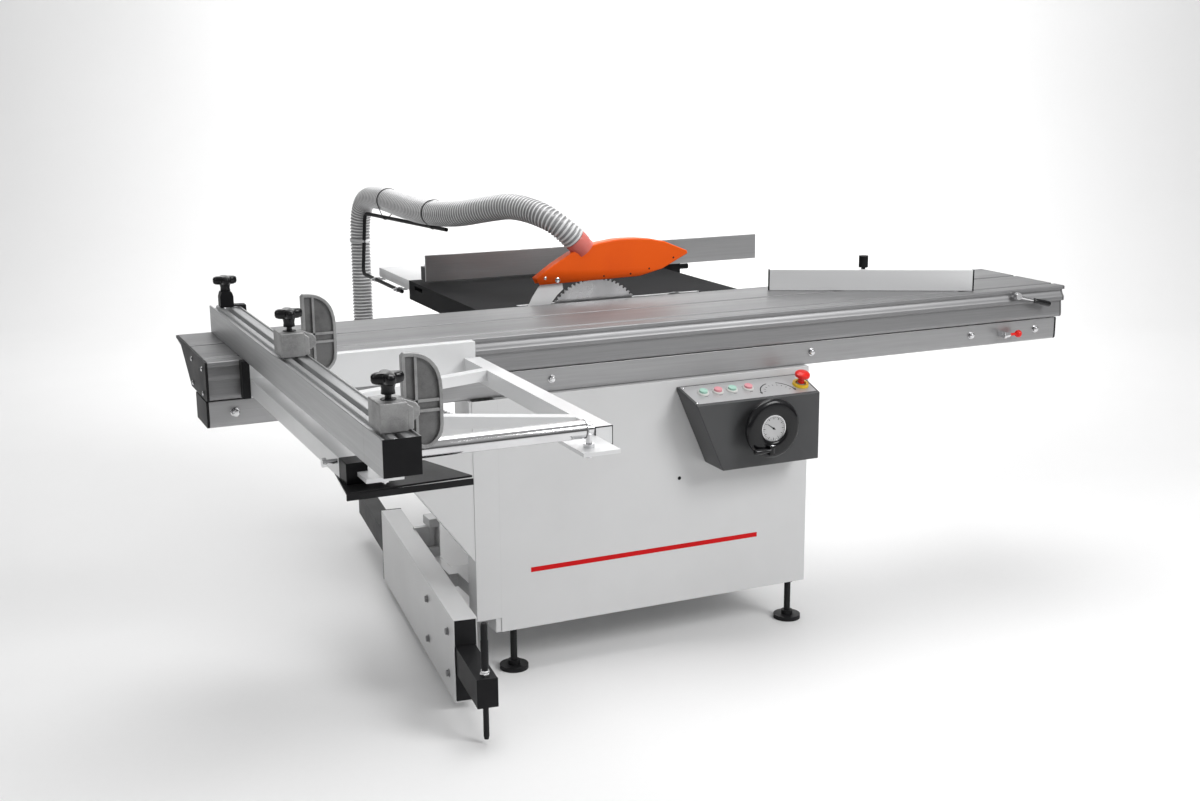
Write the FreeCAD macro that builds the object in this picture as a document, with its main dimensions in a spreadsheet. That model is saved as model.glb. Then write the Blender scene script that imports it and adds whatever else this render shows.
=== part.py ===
import FreeCAD, Part
import Sketcher
import math
import os
import re
from FreeCAD import Rotation, Vector

# Sliding-table panel saw.  +X runs along the cut towards the operator's end, +Y from the sliding
# table to the rip fence, +Z up.  The origin is on the floor under the middle of the machine.

SIZES = {
    # working surface and the sliding table
    "table_height": 900, "front_edge": -188, "table_length": 2500, "table_width": 373,
    "table_skin": 14, "table_depth": 94, "beam_width": 144, "beam_depth": 63, "beam_gap": 3,
    "track_width": 100, "track_height": 54, "track_start": 30, "rolling_fit": 0.05,
    "cap_thick": 6, "soft_gap": 0.3, "fit_gap": 0.05,
    # cabinet
    "cabinet_left": -500, "pedestal_left": 120, "panel_left": -545, "cabinet_right": 372, "front_depth": 375,
    "body_left": -330, "body_depth": 935, "raised_floor": 650, "cabinet_bottom": 120, "frame_depth": 39,
    "sheet_wall": 3, "beam_seat": 160,
    # saw table, extension and rip fence
    "saw_left": -447, "saw_right": 372, "saw_start": 377, "saw_end": 992, "saw_depth": 58,
    "saw_drop": 2, "ext_end": 1310, "ext_depth": 30,
    "rail_radius": 20, "rail_x": 425, "rail_drop": 62,
    "rip_left": -428, "rip_length": 1150, "rip_height": 80, "rip_y": 880, "rip_thick": 8,
    # saw unit
    "blade_y": 395, "blade_x": -90, "blade_radius": 157.5, "blade_thick": 3.2, "blade_show": 62,
    "arbor_radius": 15, "score_x": 165, "score_radius": 60, "score_show": 2,
    # outrigger and crosscut fence
    "fence_left": -1168, "fence_width": 69, "fence_height": 68, "fence_inner": 374,
    "fence_split": -1010, "fence_outer": -1122, "tube_side": 40, "tube_drop": 41,
    "frame_left": -1160, "frame_right": -597, "frame_outer": -806, "inner_beam": 27,
    "roller_radius": 18.5, "roller_y": -885, "roller_left": -1088, "roller_right": -694,
    "knob_radius": 30, "stop_length": 70,
    # swing arm
    "arm_width": 60, "arm_height": 217, "arm_length": 955, "arm_wall": 3, "arm_top": 659,
    "arm_tube_width": 50, "arm_tube_height": 71, "arm_tube_length": 1620, "arm_turn": 6.3,
    "arm_pivot_x": -546, "arm_pivot_y": 550,
    # dust hose and its rod
    "hose_radius": 34, "rod_radius": 6,
    # controls
    "box_left": -39, "box_right": 345, "box_depth": 100, "box_top": 178, "box_base": 395,
    "wheel_radius": 80, "wheel_x": 176, "wheel_drop": 283, "button_radius": 11,
}

doc = FreeCAD.newDocument("PanelSaw")
sheet = doc.addObject("Spreadsheet::Sheet", "Sizes")
for row, (name, size) in enumerate(SIZES.items(), start=1):
    sheet.set(f"A{row}", name)
    sheet.set(f"B{row}", str(size))
    sheet.setAlias(f"B{row}", name)
doc.recompute()

nodes = []


def expression(text):
    """Write each size's name as a reference to its cell in the sheet."""
    return re.sub(r"[a-z_]{3,}", lambda word: "Sizes." + word.group(), str(text))


def bind(item, **sizes):
    for prop, text in sizes.items():
        item.setExpression(prop, expression(text))
    return item


def place(item, at):
    for axis, text in zip("xyz", at):
        item.setExpression(f"Placement.Base.{axis}", expression(text))
    return item


def node(item, name):
    """Name a finished sub-part; its label is also its file's name."""
    item.Label = name
    nodes.append(item)
    return item


def box(size, at):
    item = doc.addObject("Part::Box", "Block")
    bind(item, Length=size[0], Width=size[1], Height=size[2])
    return place(item, at)


TURNS = {"X": Rotation(Vector(0, 1, 0), 90), "Y": Rotation(Vector(1, 0, 0), -90),
         "Z": Rotation()}


def rod(radius, length, at, axis="Z"):
    item = doc.addObject("Part::Cylinder", "Rod")
    item.Placement.Rotation = TURNS[axis]
    bind(item, Radius=radius, Height=length)
    return place(item, at)


def group(kind, items):
    if len(items) == 1:
        return items[0]
    item = doc.addObject(kind, "Group")
    if kind == "Part::Compound":
        item.Links = items
    else:
        item.Shapes = items
    return item


def fuse(*items):
    return group("Part::MultiFuse", list(items))


def together(*items):
    """Several separate solids kept in one sub-part."""
    return group("Part::Compound", list(items))


def cut(base, *tools):
    item = doc.addObject("Part::Cut", "Cut")
    item.Base = base
    item.Tool = fuse(*tools)
    return item


def sketch_on(body, plane, outline, start="0"):
    """A closed outline whose every corner is held by two driving dimensions."""
    sketch = body.newObject("Sketcher::SketchObject", "Outline")
    origin_plane = [part for part in body.Origin.OriginFeatures if part.Role == plane][0]
    sketch.AttachmentSupport = [(origin_plane, "")]
    sketch.MapMode = "FlatFace"
    sketch.setExpression("AttachmentOffset.Base.z", expression(start))
    count = len(outline)
    corners = [Vector(math.cos(2 * math.pi * i / count), math.sin(2 * math.pi * i / count), 0)
               for i in range(count)]
    for i in range(count):
        sketch.addGeometry(Part.LineSegment(corners[i], corners[(i + 1) % count]), False)
    for i in range(count):
        sketch.addConstraint(Sketcher.Constraint("Coincident", i, 2, (i + 1) % count, 1))
    for i, corner in enumerate(outline):
        for kind, text, start_value in zip(("DistanceX", "DistanceY"), corner,
                                           (corners[i].x, corners[i].y)):
            index = sketch.addConstraint(Sketcher.Constraint(kind, -1, 1, i, 1, start_value))
            sketch.setExpression(f"Constraints[{index}]", expression(text))
    return sketch


def profile(plane, outline, depth, at=("0", "0", "0"), start="0", holes=()):
    """A body padded from an outline, with holes pocketed from further outlines."""
    body = doc.addObject("PartDesign::Body", "Body")
    pad = body.newObject("PartDesign::Pad", "Pad")
    pad.Profile = sketch_on(body, plane, outline, start)
    bind(pad, Length=depth)
    for hole in holes:
        pocket = body.newObject("PartDesign::Pocket", "Pocket")
        pocket.Profile = sketch_on(body, plane, hole, start)
        pocket.Type = 1
        pocket.Midplane = False
        pocket.Reversed = True
    return place(body, at)


# Heights are given as drops below the table's surface, and depths from the sliding table's
# near edge, so these two texts start most places.
FRONT = "front_edge"
TOP = "table_height"


def depth_of(distance):
    return f"{FRONT} + ({distance})"


def drop(distance):
    return f"{TOP} - ({distance})"


def slab(x, y, z, size):
    """A block from its left, near, lower corner; y from the near edge, z as a drop."""
    return box(size, (x, depth_of(y), drop(z)))


def pin(radius, length, x, y, z, axis):
    return rod(radius, length, (x, depth_of(y), drop(z)), axis)


# --- sliding table ---------------------------------------------------------------------------

def make_sliding_table():
    """Hollow extrusion: side and top T-slots, a thin far lip and a track open underneath."""
    slot = "table_width - 168"
    outline = [
        ("-12", "0"), ("27", "0"), ("27", "-2.5"), ("33", "-2.5"), ("33", "0"),
        (f"{slot} - 5", "0"), (f"{slot} - 5", "-6"), (f"{slot} - 11", "-6"),
        (f"{slot} - 11", "-table_skin"), (f"{slot} + 11", "-table_skin"),
        (f"{slot} + 11", "-6"), (f"{slot} + 5", "-6"), (f"{slot} + 5", "0"),
        ("table_width", "0"), ("table_width", "-6"),
        ("table_width - 67", "-table_skin"), ("table_width - 187", "-table_depth"),
        ("track_start + track_width", "-table_depth"),
        ("track_start + track_width", "track_height - table_depth"),
        ("track_start", "track_height - table_depth"), ("track_start", "-table_depth"),
        ("-9", "-table_depth"), ("-9", "-42"), ("-12", "-42"), ("-12", "-25"), ("4", "-25"),
        ("4", "-9"), ("-12", "-9"),
    ]
    chamber = [
        ("track_start + track_width + 8", "-table_skin - 8"),
        ("table_width - 92", "-table_skin - 8"), ("table_width - 187", "8 - table_depth"),
        ("track_start + track_width + 8", "8 - table_depth"),
    ]
    body = profile("YZ_Plane", outline, "table_length",
                   ("-table_length / 2", FRONT, TOP), holes=[chamber])
    return node(body, "sliding_table")


def make_table_caps():
    outline = [
        ("-12", "0"), ("table_width", "0"), ("table_width", "-6"),
        ("table_width - 67", "-table_skin"), ("table_width - 187", "-table_depth"),
        ("-12", "-table_depth"),
    ]
    left = profile("YZ_Plane", outline, "cap_thick", ("-table_length / 2 - cap_thick", FRONT, TOP))
    right = profile("YZ_Plane", outline, "cap_thick", ("table_length / 2", FRONT, TOP))
    return node(together(left, right), "table_caps")


def make_fixed_beam():
    """Hollow lower beam that carries the rollers."""
    top = "table_depth + beam_gap"
    outer = slab("-table_length / 2", "-10", f"{top} + beam_depth",
                 ("table_length - 10", "beam_width", "beam_depth"))
    inner = slab("-table_length / 2 - 1", "-4", f"{top} + beam_depth - 6",
                 ("table_length - 8", "beam_width - 12", "beam_depth - 12"))
    return node(cut(outer, inner), "fixed_beam")


def make_beam_caps():
    low = "table_depth + beam_gap + beam_depth"
    size = ("cap_thick", "beam_width", "beam_depth")
    left = slab("-table_length / 2 - cap_thick", "-10", low, size)
    right = slab("table_length / 2 - 10", "-10", low, size)
    return node(together(left, right), "beam_caps")


def make_fittings():
    """Bolts through the beam's near face, the latch's housing and the hose rod's two clamps."""
    items = []
    for x in (-1191, -387, 390, 934, 1168):
        items.append(fuse(pin("7", "6", x, "-16", "126", "Y"),
                          pin("11", "1.5", x, "-11.5", "126", "Y")))
    items.append(cut(slab("1030", "-32", "138", ("24", "22", "18")),
                     pin("4.05", "30", "1034", "-22", "129", "X")))
    for y in (1030, 1265):
        plate = slab("saw_left - 22", f"{y} - 9", "saw_drop + 38", ("22", "18", "18"))
        eye = pin("rod_radius + 6", "14", "saw_left - 25", f"{y} - 7", "34", "Y")
        bore = pin("rod_radius + 0.05", "30", "saw_left - 25", f"{y} - 15", "34", "Y")
        screw = pin("3", "20", "saw_left - 50", y, "34", "X")
        items.append(cut(fuse(plate, eye, screw), bore))
    return node(together(*items), "chrome_fittings")


def make_roller_cage():
    """The cage rolls between beam and table at half the table's travel."""
    radius = "(track_height + beam_gap) / 2 - rolling_fit"
    middle = "table_depth + beam_gap - (track_height + beam_gap) / 2"
    near = slab("-500", "track_start + 8", f"{middle} + 14", ("1000", "14", "28"))
    far = slab("-500", "track_start + track_width - 22", f"{middle} + 14", ("1000", "14", "28"))
    cage = [near, far]
    for x in (-440, -220, 0, 220, 440):
        wheel = pin(radius, "track_width - 48", x, "track_start + 24", middle, "Y")
        axle = pin("8", "track_width - 16", x, "track_start + 8", middle, "Y")
        bore = pin("8", "track_width", x, "track_start", middle, "Y")
        cage.append((wheel, axle, bore))
    plates = [cut(near, *[item[2] for item in cage[2:]]), cut(far, *[item[2] for item in cage[2:]])]
    wheels = [fuse(item[0], item[1]) for item in cage[2:]]
    return node(together(*plates, *wheels), "roller_cage")


# --- base ------------------------------------------------------------------------------------

def arm_clevis():
    """Fork and pin that the swing arm turns in, welded to the base frame."""
    foot = slab("arm_pivot_x - 14", "arm_pivot_y - 29", "741", ("31", "58", "28"))
    head = slab("arm_pivot_x - 14", "arm_pivot_y - 29", "651", ("31", "58", "26"))
    back = slab("arm_pivot_x + 13", "arm_pivot_y - 29", "741", ("4", "58", "116"))
    pivot = pin("7", "100", "arm_pivot_x", "arm_pivot_y", "735", "Z")
    return foot, head, back, pivot


def make_base_frame():
    """Hollow rails: a wide ring under the front, a narrower one behind, a leg for the arm."""
    low = "table_height - cabinet_bottom"
    width = "60"

    def ring(left, start, right, end):
        outer = slab(left, start, low, (f"{right} - ({left})", f"{end} - ({start})",
                                        "frame_depth"))
        hole = slab(f"{left} + {width}", f"{start} + {width}", f"{low} + 1",
                    (f"{right} - ({left}) - 120", f"{end} - ({start}) - 120",
                     "frame_depth + 2"))
        inside = slab(f"{left} + 3", f"{start} + 3", f"{low} - 3",
                      (f"{right} - ({left}) - 6", f"{end} - ({start}) - 6", "frame_depth - 6"))
        core = slab(f"{left} + 57", f"{start} + 57", f"{low} + 1",
                    (f"{right} - ({left}) - 114", f"{end} - ({start}) - 114",
                     "frame_depth + 2"))
        return cut(cut(outer, hole), cut(inside, core))

    front = ring("cabinet_left - 32", "-10", "cabinet_right", "422")
    back = ring("pedestal_left", "422", "cabinet_right", "body_depth")
    leg = slab("cabinet_left - 58", "362", low, ("28", "210", "frame_depth"))
    corner = slab("panel_left - 15", "-10", low, ("28", "60", "frame_depth"))
    return node(fuse(front, back, leg, corner, *arm_clevis()), "base_frame")


def make_feet():
    items = []
    for x, y in (("cabinet_left", 22), ("cabinet_right - 32", 22),
                 ("cabinet_right - 32", "body_depth - 30"), ("pedestal_left + 30", "body_depth - 30")):
        pad = pin("38", "12", x, y, TOP, "Z")
        collar = pin("16", "12", x, y, f"{TOP} - 12", "Z")
        stud = pin("9", "cabinet_bottom - 24", x, y, f"{TOP} - 24", "Z")
        nut = pin("15", "10", x, y, f"{TOP} - cabinet_bottom + 10", "Z")
        items.append(fuse(pad, collar, stud, nut))
    return node(together(*items), "levelling_feet")


def make_cabinet():
    """Sheet-metal housing: a wide front bay under the beam and the saw bay behind it."""
    floor = "table_height - cabinet_bottom - frame_depth"
    wall = "sheet_wall"
    tall_front = f"{floor} - beam_seat"
    tall_back = "raised_floor - saw_drop - saw_depth"
    front = slab("cabinet_left", "-10", floor, ("cabinet_right - cabinet_left", "front_depth",
                                                tall_front))
    back = slab("body_left", "front_depth - 10", "raised_floor",
                ("cabinet_right - body_left", "body_depth - front_depth + 10", tall_back))
    pedestal = slab("pedestal_left", "front_depth - 10", floor,
                    ("cabinet_right - pedestal_left", "body_depth - front_depth + 10",
                     f"{floor} - raised_floor"))
    front_room = slab(f"cabinet_left + {wall}", f"{wall} - 10", f"{floor} - {wall}",
                      (f"cabinet_right - cabinet_left - 2 * {wall}",
                       f"front_depth - 2 * {wall}", f"{tall_front} - 2 * {wall}"))
    back_room = slab(f"body_left + {wall}", "front_depth - 30", f"raised_floor - {wall}",
                     (f"cabinet_right - body_left - 2 * {wall}",
                      f"body_depth - front_depth + 30 - {wall}", f"{tall_back} + 20"))
    pedestal_room = slab(f"pedestal_left + {wall}", "front_depth - 30", f"{floor} - {wall}",
                         (f"cabinet_right - pedestal_left - 2 * {wall}",
                          f"body_depth - front_depth + 30 - {wall}",
                          f"{floor} - raised_floor + 20"))
    blade_way = slab(f"body_left + {wall}", "170", "beam_seat + 30",
                     (f"cabinet_right - body_left - 2 * {wall}",
                      "front_depth - 180 - sheet_wall", "60"))
    upper_way = slab(f"body_left + {wall}", "front_depth - 20", "beam_seat + 30",
                     (f"cabinet_right - body_left - 2 * {wall}", "60", "130"))
    port = pin("hose_radius - 2.3", "60", "-150", "body_depth", "560", "Y")
    flange = slab("-230", "body_depth", "640", ("160", "4", "160"))
    port_bore = pin("hose_radius - 5", "90", "-150", "body_depth - 20", "560", "Y")
    shell = cut(fuse(front, back, pedestal, port, flange), front_room, back_room, pedestal_room,
                blade_way, upper_way, port_bore)
    low = "table_height - cabinet_bottom"
    panel = slab("panel_left", "-10 - sheet_wall", low,
                 ("cabinet_right - panel_left", "sheet_wall", f"{low} - beam_seat"))
    return node(shell, "cabinet"), node(panel, "front_panel")


def make_column():
    height = "table_height - cabinet_bottom - frame_depth - beam_seat"
    outer = slab("panel_left - 67", "-14", "table_height - cabinet_bottom - frame_depth",
                 ("67", "60", height))
    inner = slab("panel_left - 64", "-11", "table_height - cabinet_bottom - frame_depth + 1",
                 ("61", "54", f"{height} + 2"))
    return cut(outer, inner)


def make_gusset():
    """Triangular bracket that carries the beam left of the column."""
    right = "panel_left - 67"
    outline = [(right, "-beam_seat"), (f"{right}", "-580"), (f"{right} - 313", "-beam_seat"),
               (f"{right} - 80", "-beam_seat"), (f"{right} - 80", "-215"),
               (f"{right} - 8", "-215"), (f"{right} - 8", "-beam_seat")]
    hollow = [(f"{right} - 4", "-beam_seat - 60"), (f"{right} - 4", "-568"),
              (f"{right} - 262", "-beam_seat - 60")]
    plate = profile("XZ_Plane", outline, "50", ("0", depth_of(38), TOP))
    room = profile("XZ_Plane", hollow, "46", ("0", depth_of(39), TOP))
    return node(fuse(make_column(), cut(plate, room)), "column")


# --- saw table, extension and rip fence --------------------------------------------------------

def make_saw_table():
    """Cast top with ribs under it and a throat at the near edge for blade and scorer."""
    length = "saw_right - saw_left"
    width = "saw_end - saw_start"
    top = slab("saw_left", "saw_start", "saw_drop + saw_depth", (length, width, "saw_depth"))
    room = slab("saw_left + 12", "saw_start + 60", "saw_drop + saw_depth + 1",
                (f"{length} - 24", f"{width} - 72", "saw_depth - 9"))
    throat = slab("blade_x - 232", "saw_start - 1", "saw_drop + saw_depth + 1",
                  ("572", "blade_y - saw_start + 18", "saw_depth + 2"))
    arbor_room = slab("blade_x - 232", "saw_start - 1", "saw_drop + saw_depth + 1",
                      ("572", "80", "saw_depth - 9"))
    slot = slab("saw_left - 1", "saw_end - 130", "saw_drop + 22", ("20", "75", "12"))
    ribs = [slab(x, "saw_start + 63", "200", ("8", "160", "190"))
            for x in ("blade_x - 198.3", "blade_x + 342.3")]
    return node(fuse(cut(top, room, throat, arbor_room, slot), *ribs), "saw_table")


def make_throat_plate():
    plate = slab("blade_x - 231.7", "blade_y + 4", "saw_drop + 4", ("571.4", "12.7", "4"))
    return node(plate, "throat_plate")


def make_extension_table():
    length = "saw_right - saw_left"
    top = slab("saw_left", "saw_end", "saw_drop + ext_depth",
               (length, "ext_end - saw_end", "ext_depth"))
    room = slab("saw_left + 3", "saw_end + 3", "saw_drop + ext_depth + 1",
                (f"{length} - 6", "ext_end - saw_end - 6", "ext_depth - 2"))
    return node(cut(top, room), "extension_table")


def make_fence_rail():
    bar = pin("rail_radius", "ext_end - saw_start - 20", "rail_x", "saw_start + 10",
              "rail_drop", "Y")
    items = [bar]
    for y in ("saw_start + 60", "saw_end - 40"):
        items.append(slab("saw_right", y, "rail_drop + 10",
                          ("rail_x - saw_right - 5", "24", "20")))
    return node(fuse(*items), "fence_rail")


def make_rip_head():
    """Casting that straddles the rail and holds the fence's rear bar."""
    start = "rip_y + rip_thick + 40"
    block = slab("rail_x - 40", start, "rail_drop + 34", ("80", "110", "rail_drop + 59"))
    bore = pin("rail_radius + fit_gap", "130", "rail_x", f"{start} - 10", "rail_drop", "Y")
    mouth = slab("rail_x - 50", f"{start} - 1", "rail_drop + 14", ("40", "112", "28"))
    handle = pin("9", "60", "rail_x + 38", f"{start} + 60", "20", "X")
    return node(cut(fuse(block, handle), bore, mouth), "rip_head")


def make_rip_fence():
    plate = slab("rip_left", "rip_y", "-7", ("rip_length", "rip_thick", "rip_height"))
    bar = slab("rip_left", "rip_y + rip_thick", "-9", ("rip_length - 250", "39.7", "40"))
    return node(plate, "rip_fence"), node(bar, "rip_fence_bar")


# --- saw unit ----------------------------------------------------------------------------------

ARBOR = "blade_radius - blade_show"


def make_trunnion():
    """Tilting frame: two end plates, a bridge, and the scoring spindle's housing."""
    left = slab("blade_x - 190", "blade_y + 60", "380", ("12", "110", "316"))
    right = slab("blade_x + 330", "blade_y + 60", "380", ("12", "110", "316"))
    bridge = slab("blade_x - 190", "blade_y + 140", "380", ("532", "30", "40"))
    rail_left = slab("blade_x - 150", "blade_y + 140", "370", ("30", "30", "300"))
    rail_right = slab("blade_x + 120", "blade_y + 140", "370", ("30", "30", "300"))
    score = pin("26", "60", "score_x", "blade_y + 12", "score_radius - score_show", "Y")
    link = slab("score_x - 15", "blade_y + 72", "score_radius - score_show + 15",
                ("30", "68", "30"))
    tie = slab("blade_x + 120", "blade_y + 140", "score_radius - score_show + 15",
               ("222", "30", "30"))
    motor = pin("45", "120", "score_x", "blade_y + 168", "score_radius - score_show + 40", "Y")
    bore = pin("10.05", "80", "score_x", "blade_y + 5", "score_radius - score_show", "Y")
    frame = fuse(left, right, bridge, rail_left, rail_right, cut(score, bore), link, tie, motor)
    return node(frame, "trunnion")


def make_arbor_housing():
    """Saw spindle housing on its rising slide, with the riving knife's clamp."""
    tube = pin("36", "90", "blade_x", "blade_y + 14", ARBOR, "Y")
    bore = pin("arbor_radius + fit_gap", "150", "blade_x", "blade_y + 5", ARBOR, "Y")
    carriage = slab("blade_x - 145", "blade_y + 104", f"{ARBOR} + 180", ("290", "35.7", "200"))
    arm = slab("blade_x - 178", "blade_y + 14", f"{ARBOR} + 30", ("80", "20", "36"))
    web = slab("blade_x - 110", "blade_y + 14", f"{ARBOR} + 30", ("90", "95", "30"))
    clamp = slab("blade_x - 205", "blade_y + 2", f"{ARBOR} + 30", ("30", "32", "36"))
    return node(cut(fuse(tube, carriage, arm, web, clamp), bore), "arbor_housing")


def make_motor():
    drum = pin("78", "230", "blade_x + 10", "blade_y + 175", f"{ARBOR} + 210", "Y")
    foot = slab("blade_x - 40", "blade_y + 139.7", f"{ARBOR} + 170", ("80", "40", "30"))
    return node(fuse(drum, foot), "motor")


def make_blade():
    """Toothed disc, clamped by its flanges on the arbor."""
    teeth = 24
    disc = pin("blade_radius - 7", "blade_thick", "blade_x", "blade_y - blade_thick / 2",
               ARBOR, "Y")
    tips = []
    for i in range(teeth):
        tooth = doc.addObject("Part::Box", "Tooth")
        bind(tooth, Length="12", Width="blade_thick", Height="9")
        angle = 360 / teeth * i
        turn = Rotation(Vector(0, 1, 0), angle)
        reach = turn.multVec(Vector(1, 0, 0))
        tooth.Placement.Rotation = turn
        place(tooth, (f"blade_x + (blade_radius - 12) * {reach.x:.6f}",
                      depth_of("blade_y - blade_thick / 2"),
                      drop(f"{ARBOR} - (blade_radius - 12) * {reach.z:.6f}")))
        tips.append(tooth)
    flange = pin("40", "6", "blade_x", "blade_y - blade_thick / 2 - 6", ARBOR, "Y")
    nut = pin("18", "12", "blade_x", "blade_y - blade_thick / 2 - 16", ARBOR, "Y")
    shaft = pin("arbor_radius", "160", "blade_x", "blade_y - 10", ARBOR, "Y")
    inner = pin("40", "8", "blade_x", "blade_y + blade_thick / 2", ARBOR, "Y")
    return node(fuse(disc, *tips, flange, nut, shaft, inner), "saw_blade")


def make_scoring_blade():
    level = "score_radius - score_show"
    disc = pin("score_radius", "3", "score_x", "blade_y - 1.5", level, "Y")
    flange = pin("20", "8", "score_x", "blade_y - 9", level, "Y")
    shaft = pin("10", "70", "score_x", "blade_y - 9", level, "Y")
    return node(fuse(disc, flange, shaft), "scoring_blade")


def ring_sector(radius, start, end, steps):
    """Corners along an arc about the arbor, from one angle in degrees to another."""
    points = []
    for i in range(steps + 1):
        angle = math.radians(start + (end - start) * i / steps)
        points.append((f"blade_x + ({radius}) * {math.cos(angle):.6f}",
                       f"({radius}) * {math.sin(angle):.6f} - ({ARBOR})"))
    return points


def make_riving_knife():
    """Crescent plate behind the blade, clamped below and carrying the guard above."""
    outer = ring_sector("blade_radius + 64", 118, 196, 10)
    inner = ring_sector("blade_radius + 5", 196, 126, 9)
    foot = [("blade_x - 200", f"-({ARBOR}) - 50"), ("blade_x - 168", f"-({ARBOR}) - 50")]
    body = profile("XZ_Plane", outer + foot + inner, "2.6",
                   ("0", depth_of("blade_y + 1.3"), TOP))
    hole = pin("4.05", "20", "-209", "blade_y - 10", "-65", "Y")
    return node(cut(body, hole), "riving_knife")


GUARD_OUTLINE = [(-272, 73), (-263, 55), (-100, 56), (51, 60), (120, 76), (201, 115),
                 (197, 124), (126, 154), (84, 163), (41, 168), (0, 169), (-32, 168),
                 (-79, 162), (-122, 152), (-166, 138), (-220, 108)]


def make_guard():
    """Slim hollow hood over the blade, pivoting on the riving knife."""
    middle = (-40, 110)
    outline = [(f"{x}", f"{z}") for x, z in GUARD_OUTLINE]
    inset = []
    for x, z in GUARD_OUTLINE:
        away = Vector(middle[0] - x, middle[1] - z, 0).normalize()
        low = z < 80 and x > -265 and x < 60
        inset.append((f"{x + 5 * away.x:.2f}", f"{z - 20 if low else z + 4 * away.y:.2f}"))
    inset[1:2] = [("-276", "67"), ("-276", "35")]
    shell = profile("XZ_Plane", outline, "36", ("0", depth_of("blade_y + 18"), TOP))
    room = profile("XZ_Plane", inset, "30", ("0", depth_of("blade_y + 15"), TOP))
    bolt = pin("4", "36", "-209", "blade_y - 18", "-65", "Y")
    hood = cut(shell, room, collar_rod("14", "40", 20))
    return node(fuse(hood, bolt), "guard")


COLLAR_AT = (-122, 148)
COLLAR_LEAN = 45


def collar_rod(radius, length, back):
    """A cylinder on the collar's leaning axis, starting a distance behind its base."""
    lean = math.radians(COLLAR_LEAN)
    item = doc.addObject("Part::Cylinder", "Collar")
    item.Placement.Rotation = Rotation(Vector(0, 1, 0), -COLLAR_LEAN)
    bind(item, Radius=radius, Height=length)
    return place(item, (f"{COLLAR_AT[0] + back * math.sin(lean):.3f}", depth_of("blade_y"),
                        drop(f"{back * math.cos(lean) - COLLAR_AT[1]:.3f}")))


def make_collar():
    """Translucent spigot that the dust hose slips over."""
    tube = collar_rod("hose_radius - 2.3", "64", 14)
    bore = collar_rod("hose_radius - 5", "90", 20)
    outline = [(f"{x}", f"{z + 0.4}") for x, z in GUARD_OUTLINE]
    saddle = profile("XZ_Plane", outline, "80", ("0", depth_of("blade_y + 40"), TOP))
    return node(cut(tube, bore, saddle), "guard_collar")


# --- controls ----------------------------------------------------------------------------------

BOX_SLOPE = math.degrees(math.atan2(32, 100))


def make_control_box():
    """Folded housing with a sloping label face and a slanting left end."""
    outline = [("box_left", "-box_top - 10"), ("box_left", "-box_top"), ("box_right", "-box_top"),
               ("box_right", "-box_base"), ("box_left + 89", "-box_base")]
    hull = profile("XZ_Plane", outline, "box_depth", ("0", depth_of("-10 - sheet_wall"), TOP))
    wedge = [("1", "0.32"), ("-box_depth - 1", "-0.32 * (box_depth + 1)"),
             ("-box_depth - 1", "2"), ("1", "2")]
    top = profile("YZ_Plane", wedge, "box_right - box_left + 2",
                  ("box_left - 1", depth_of("-10 - sheet_wall"), drop("box_top")))
    room = slab("box_left + 96", "-10 - sheet_wall - box_depth + 4", "box_base - 4",
                ("box_right - box_left - 100", "box_depth - 8", "box_base - box_top - 50"))
    bore = pin("10.05", "60", "wheel_x", "-10 - sheet_wall - box_depth - 10", "wheel_drop", "Y")
    return node(cut(hull, top, room, bore), "control_box")


def make_wheel():
    face = "-10 - sheet_wall - box_depth"
    rim = pin("wheel_radius", "26", "wheel_x", f"{face} - 50", "wheel_drop", "Y")
    dish = pin("36", "8", "wheel_x", f"{face} - 51", "wheel_drop", "Y")
    hub = pin("26", "24", "wheel_x", f"{face} - 25", "wheel_drop", "Y")
    shaft = pin("10", "40", "wheel_x", f"{face} - 10", "wheel_drop", "Y")
    level = "wheel_drop + 54"
    ears = [slab("wheel_x - 22", f"{face} - 64.3", f"{level} + {low}", ("16", "15.3", "4"))
            for low in (13, -9)]
    hinge = pin("4", "26", "wheel_x - 14", f"{face} - 59.3", f"{level} + 13", "Z")
    node(fuse(cut(fuse(rim, hub, shaft), dish), *ears, hinge), "handwheel")
    barrel = pin("7", "17", "wheel_x - 14", f"{face} - 59.3", f"{level} + 8.5", "Z")
    grip = pin("8", "52", "wheel_x - 68", f"{face} - 59.3", level, "X")
    bore = pin("4.05", "30", "wheel_x - 14", f"{face} - 59.3", f"{level} + 15", "Z")
    return node(cut(fuse(barrel, grip), bore), "wheel_handle")


BUTTON_XS = (18, 62, 105, 154)


def slope_rod(radius, length, x, back, lift):
    """A cylinder square to the label face, some way back from the cabinet."""
    slope = math.radians(BOX_SLOPE)
    item = doc.addObject("Part::Cylinder", "SlopeRod")
    item.Placement.Rotation = Rotation(Vector(1, 0, 0), BOX_SLOPE)
    bind(item, Radius=radius, Height=length)
    y = -13 - back - lift * math.sin(slope)
    z = -0.32 * back + lift * math.cos(slope)
    return place(item, (x, depth_of(f"{y:.3f}"), drop(f"box_top - ({z:.3f})")))


def make_buttons():
    rings = []
    for i, x in enumerate(BUTTON_XS, start=1):
        rings.append(cut(slope_rod("button_radius + 4", "4", x, 44, 0.3),
                         slope_rod("button_radius + 0.3", "9", x, 44, -1)))
        node(slope_rod("button_radius", "6", x, 44, 3.6), f"push_button_{i}")
    rings.append(cut(fuse(slope_rod("27", "4", "310", 56, 0.3), slope_rod("14", "14", "310", 56, 0.3)),
                     slope_rod("9.3", "20", "310", 56, -1)))
    stem = slope_rod("9", "18", "310", 56, 7.5)
    head = slope_rod("21", "16", "310", 56, 25)
    node(fuse(stem, head), "stop_button")
    return node(together(*rings), "button_rings")


# --- crosscut fence ------------------------------------------------------------------------------

FENCE_MIDDLE = "fence_left + fence_width / 2"


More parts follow.
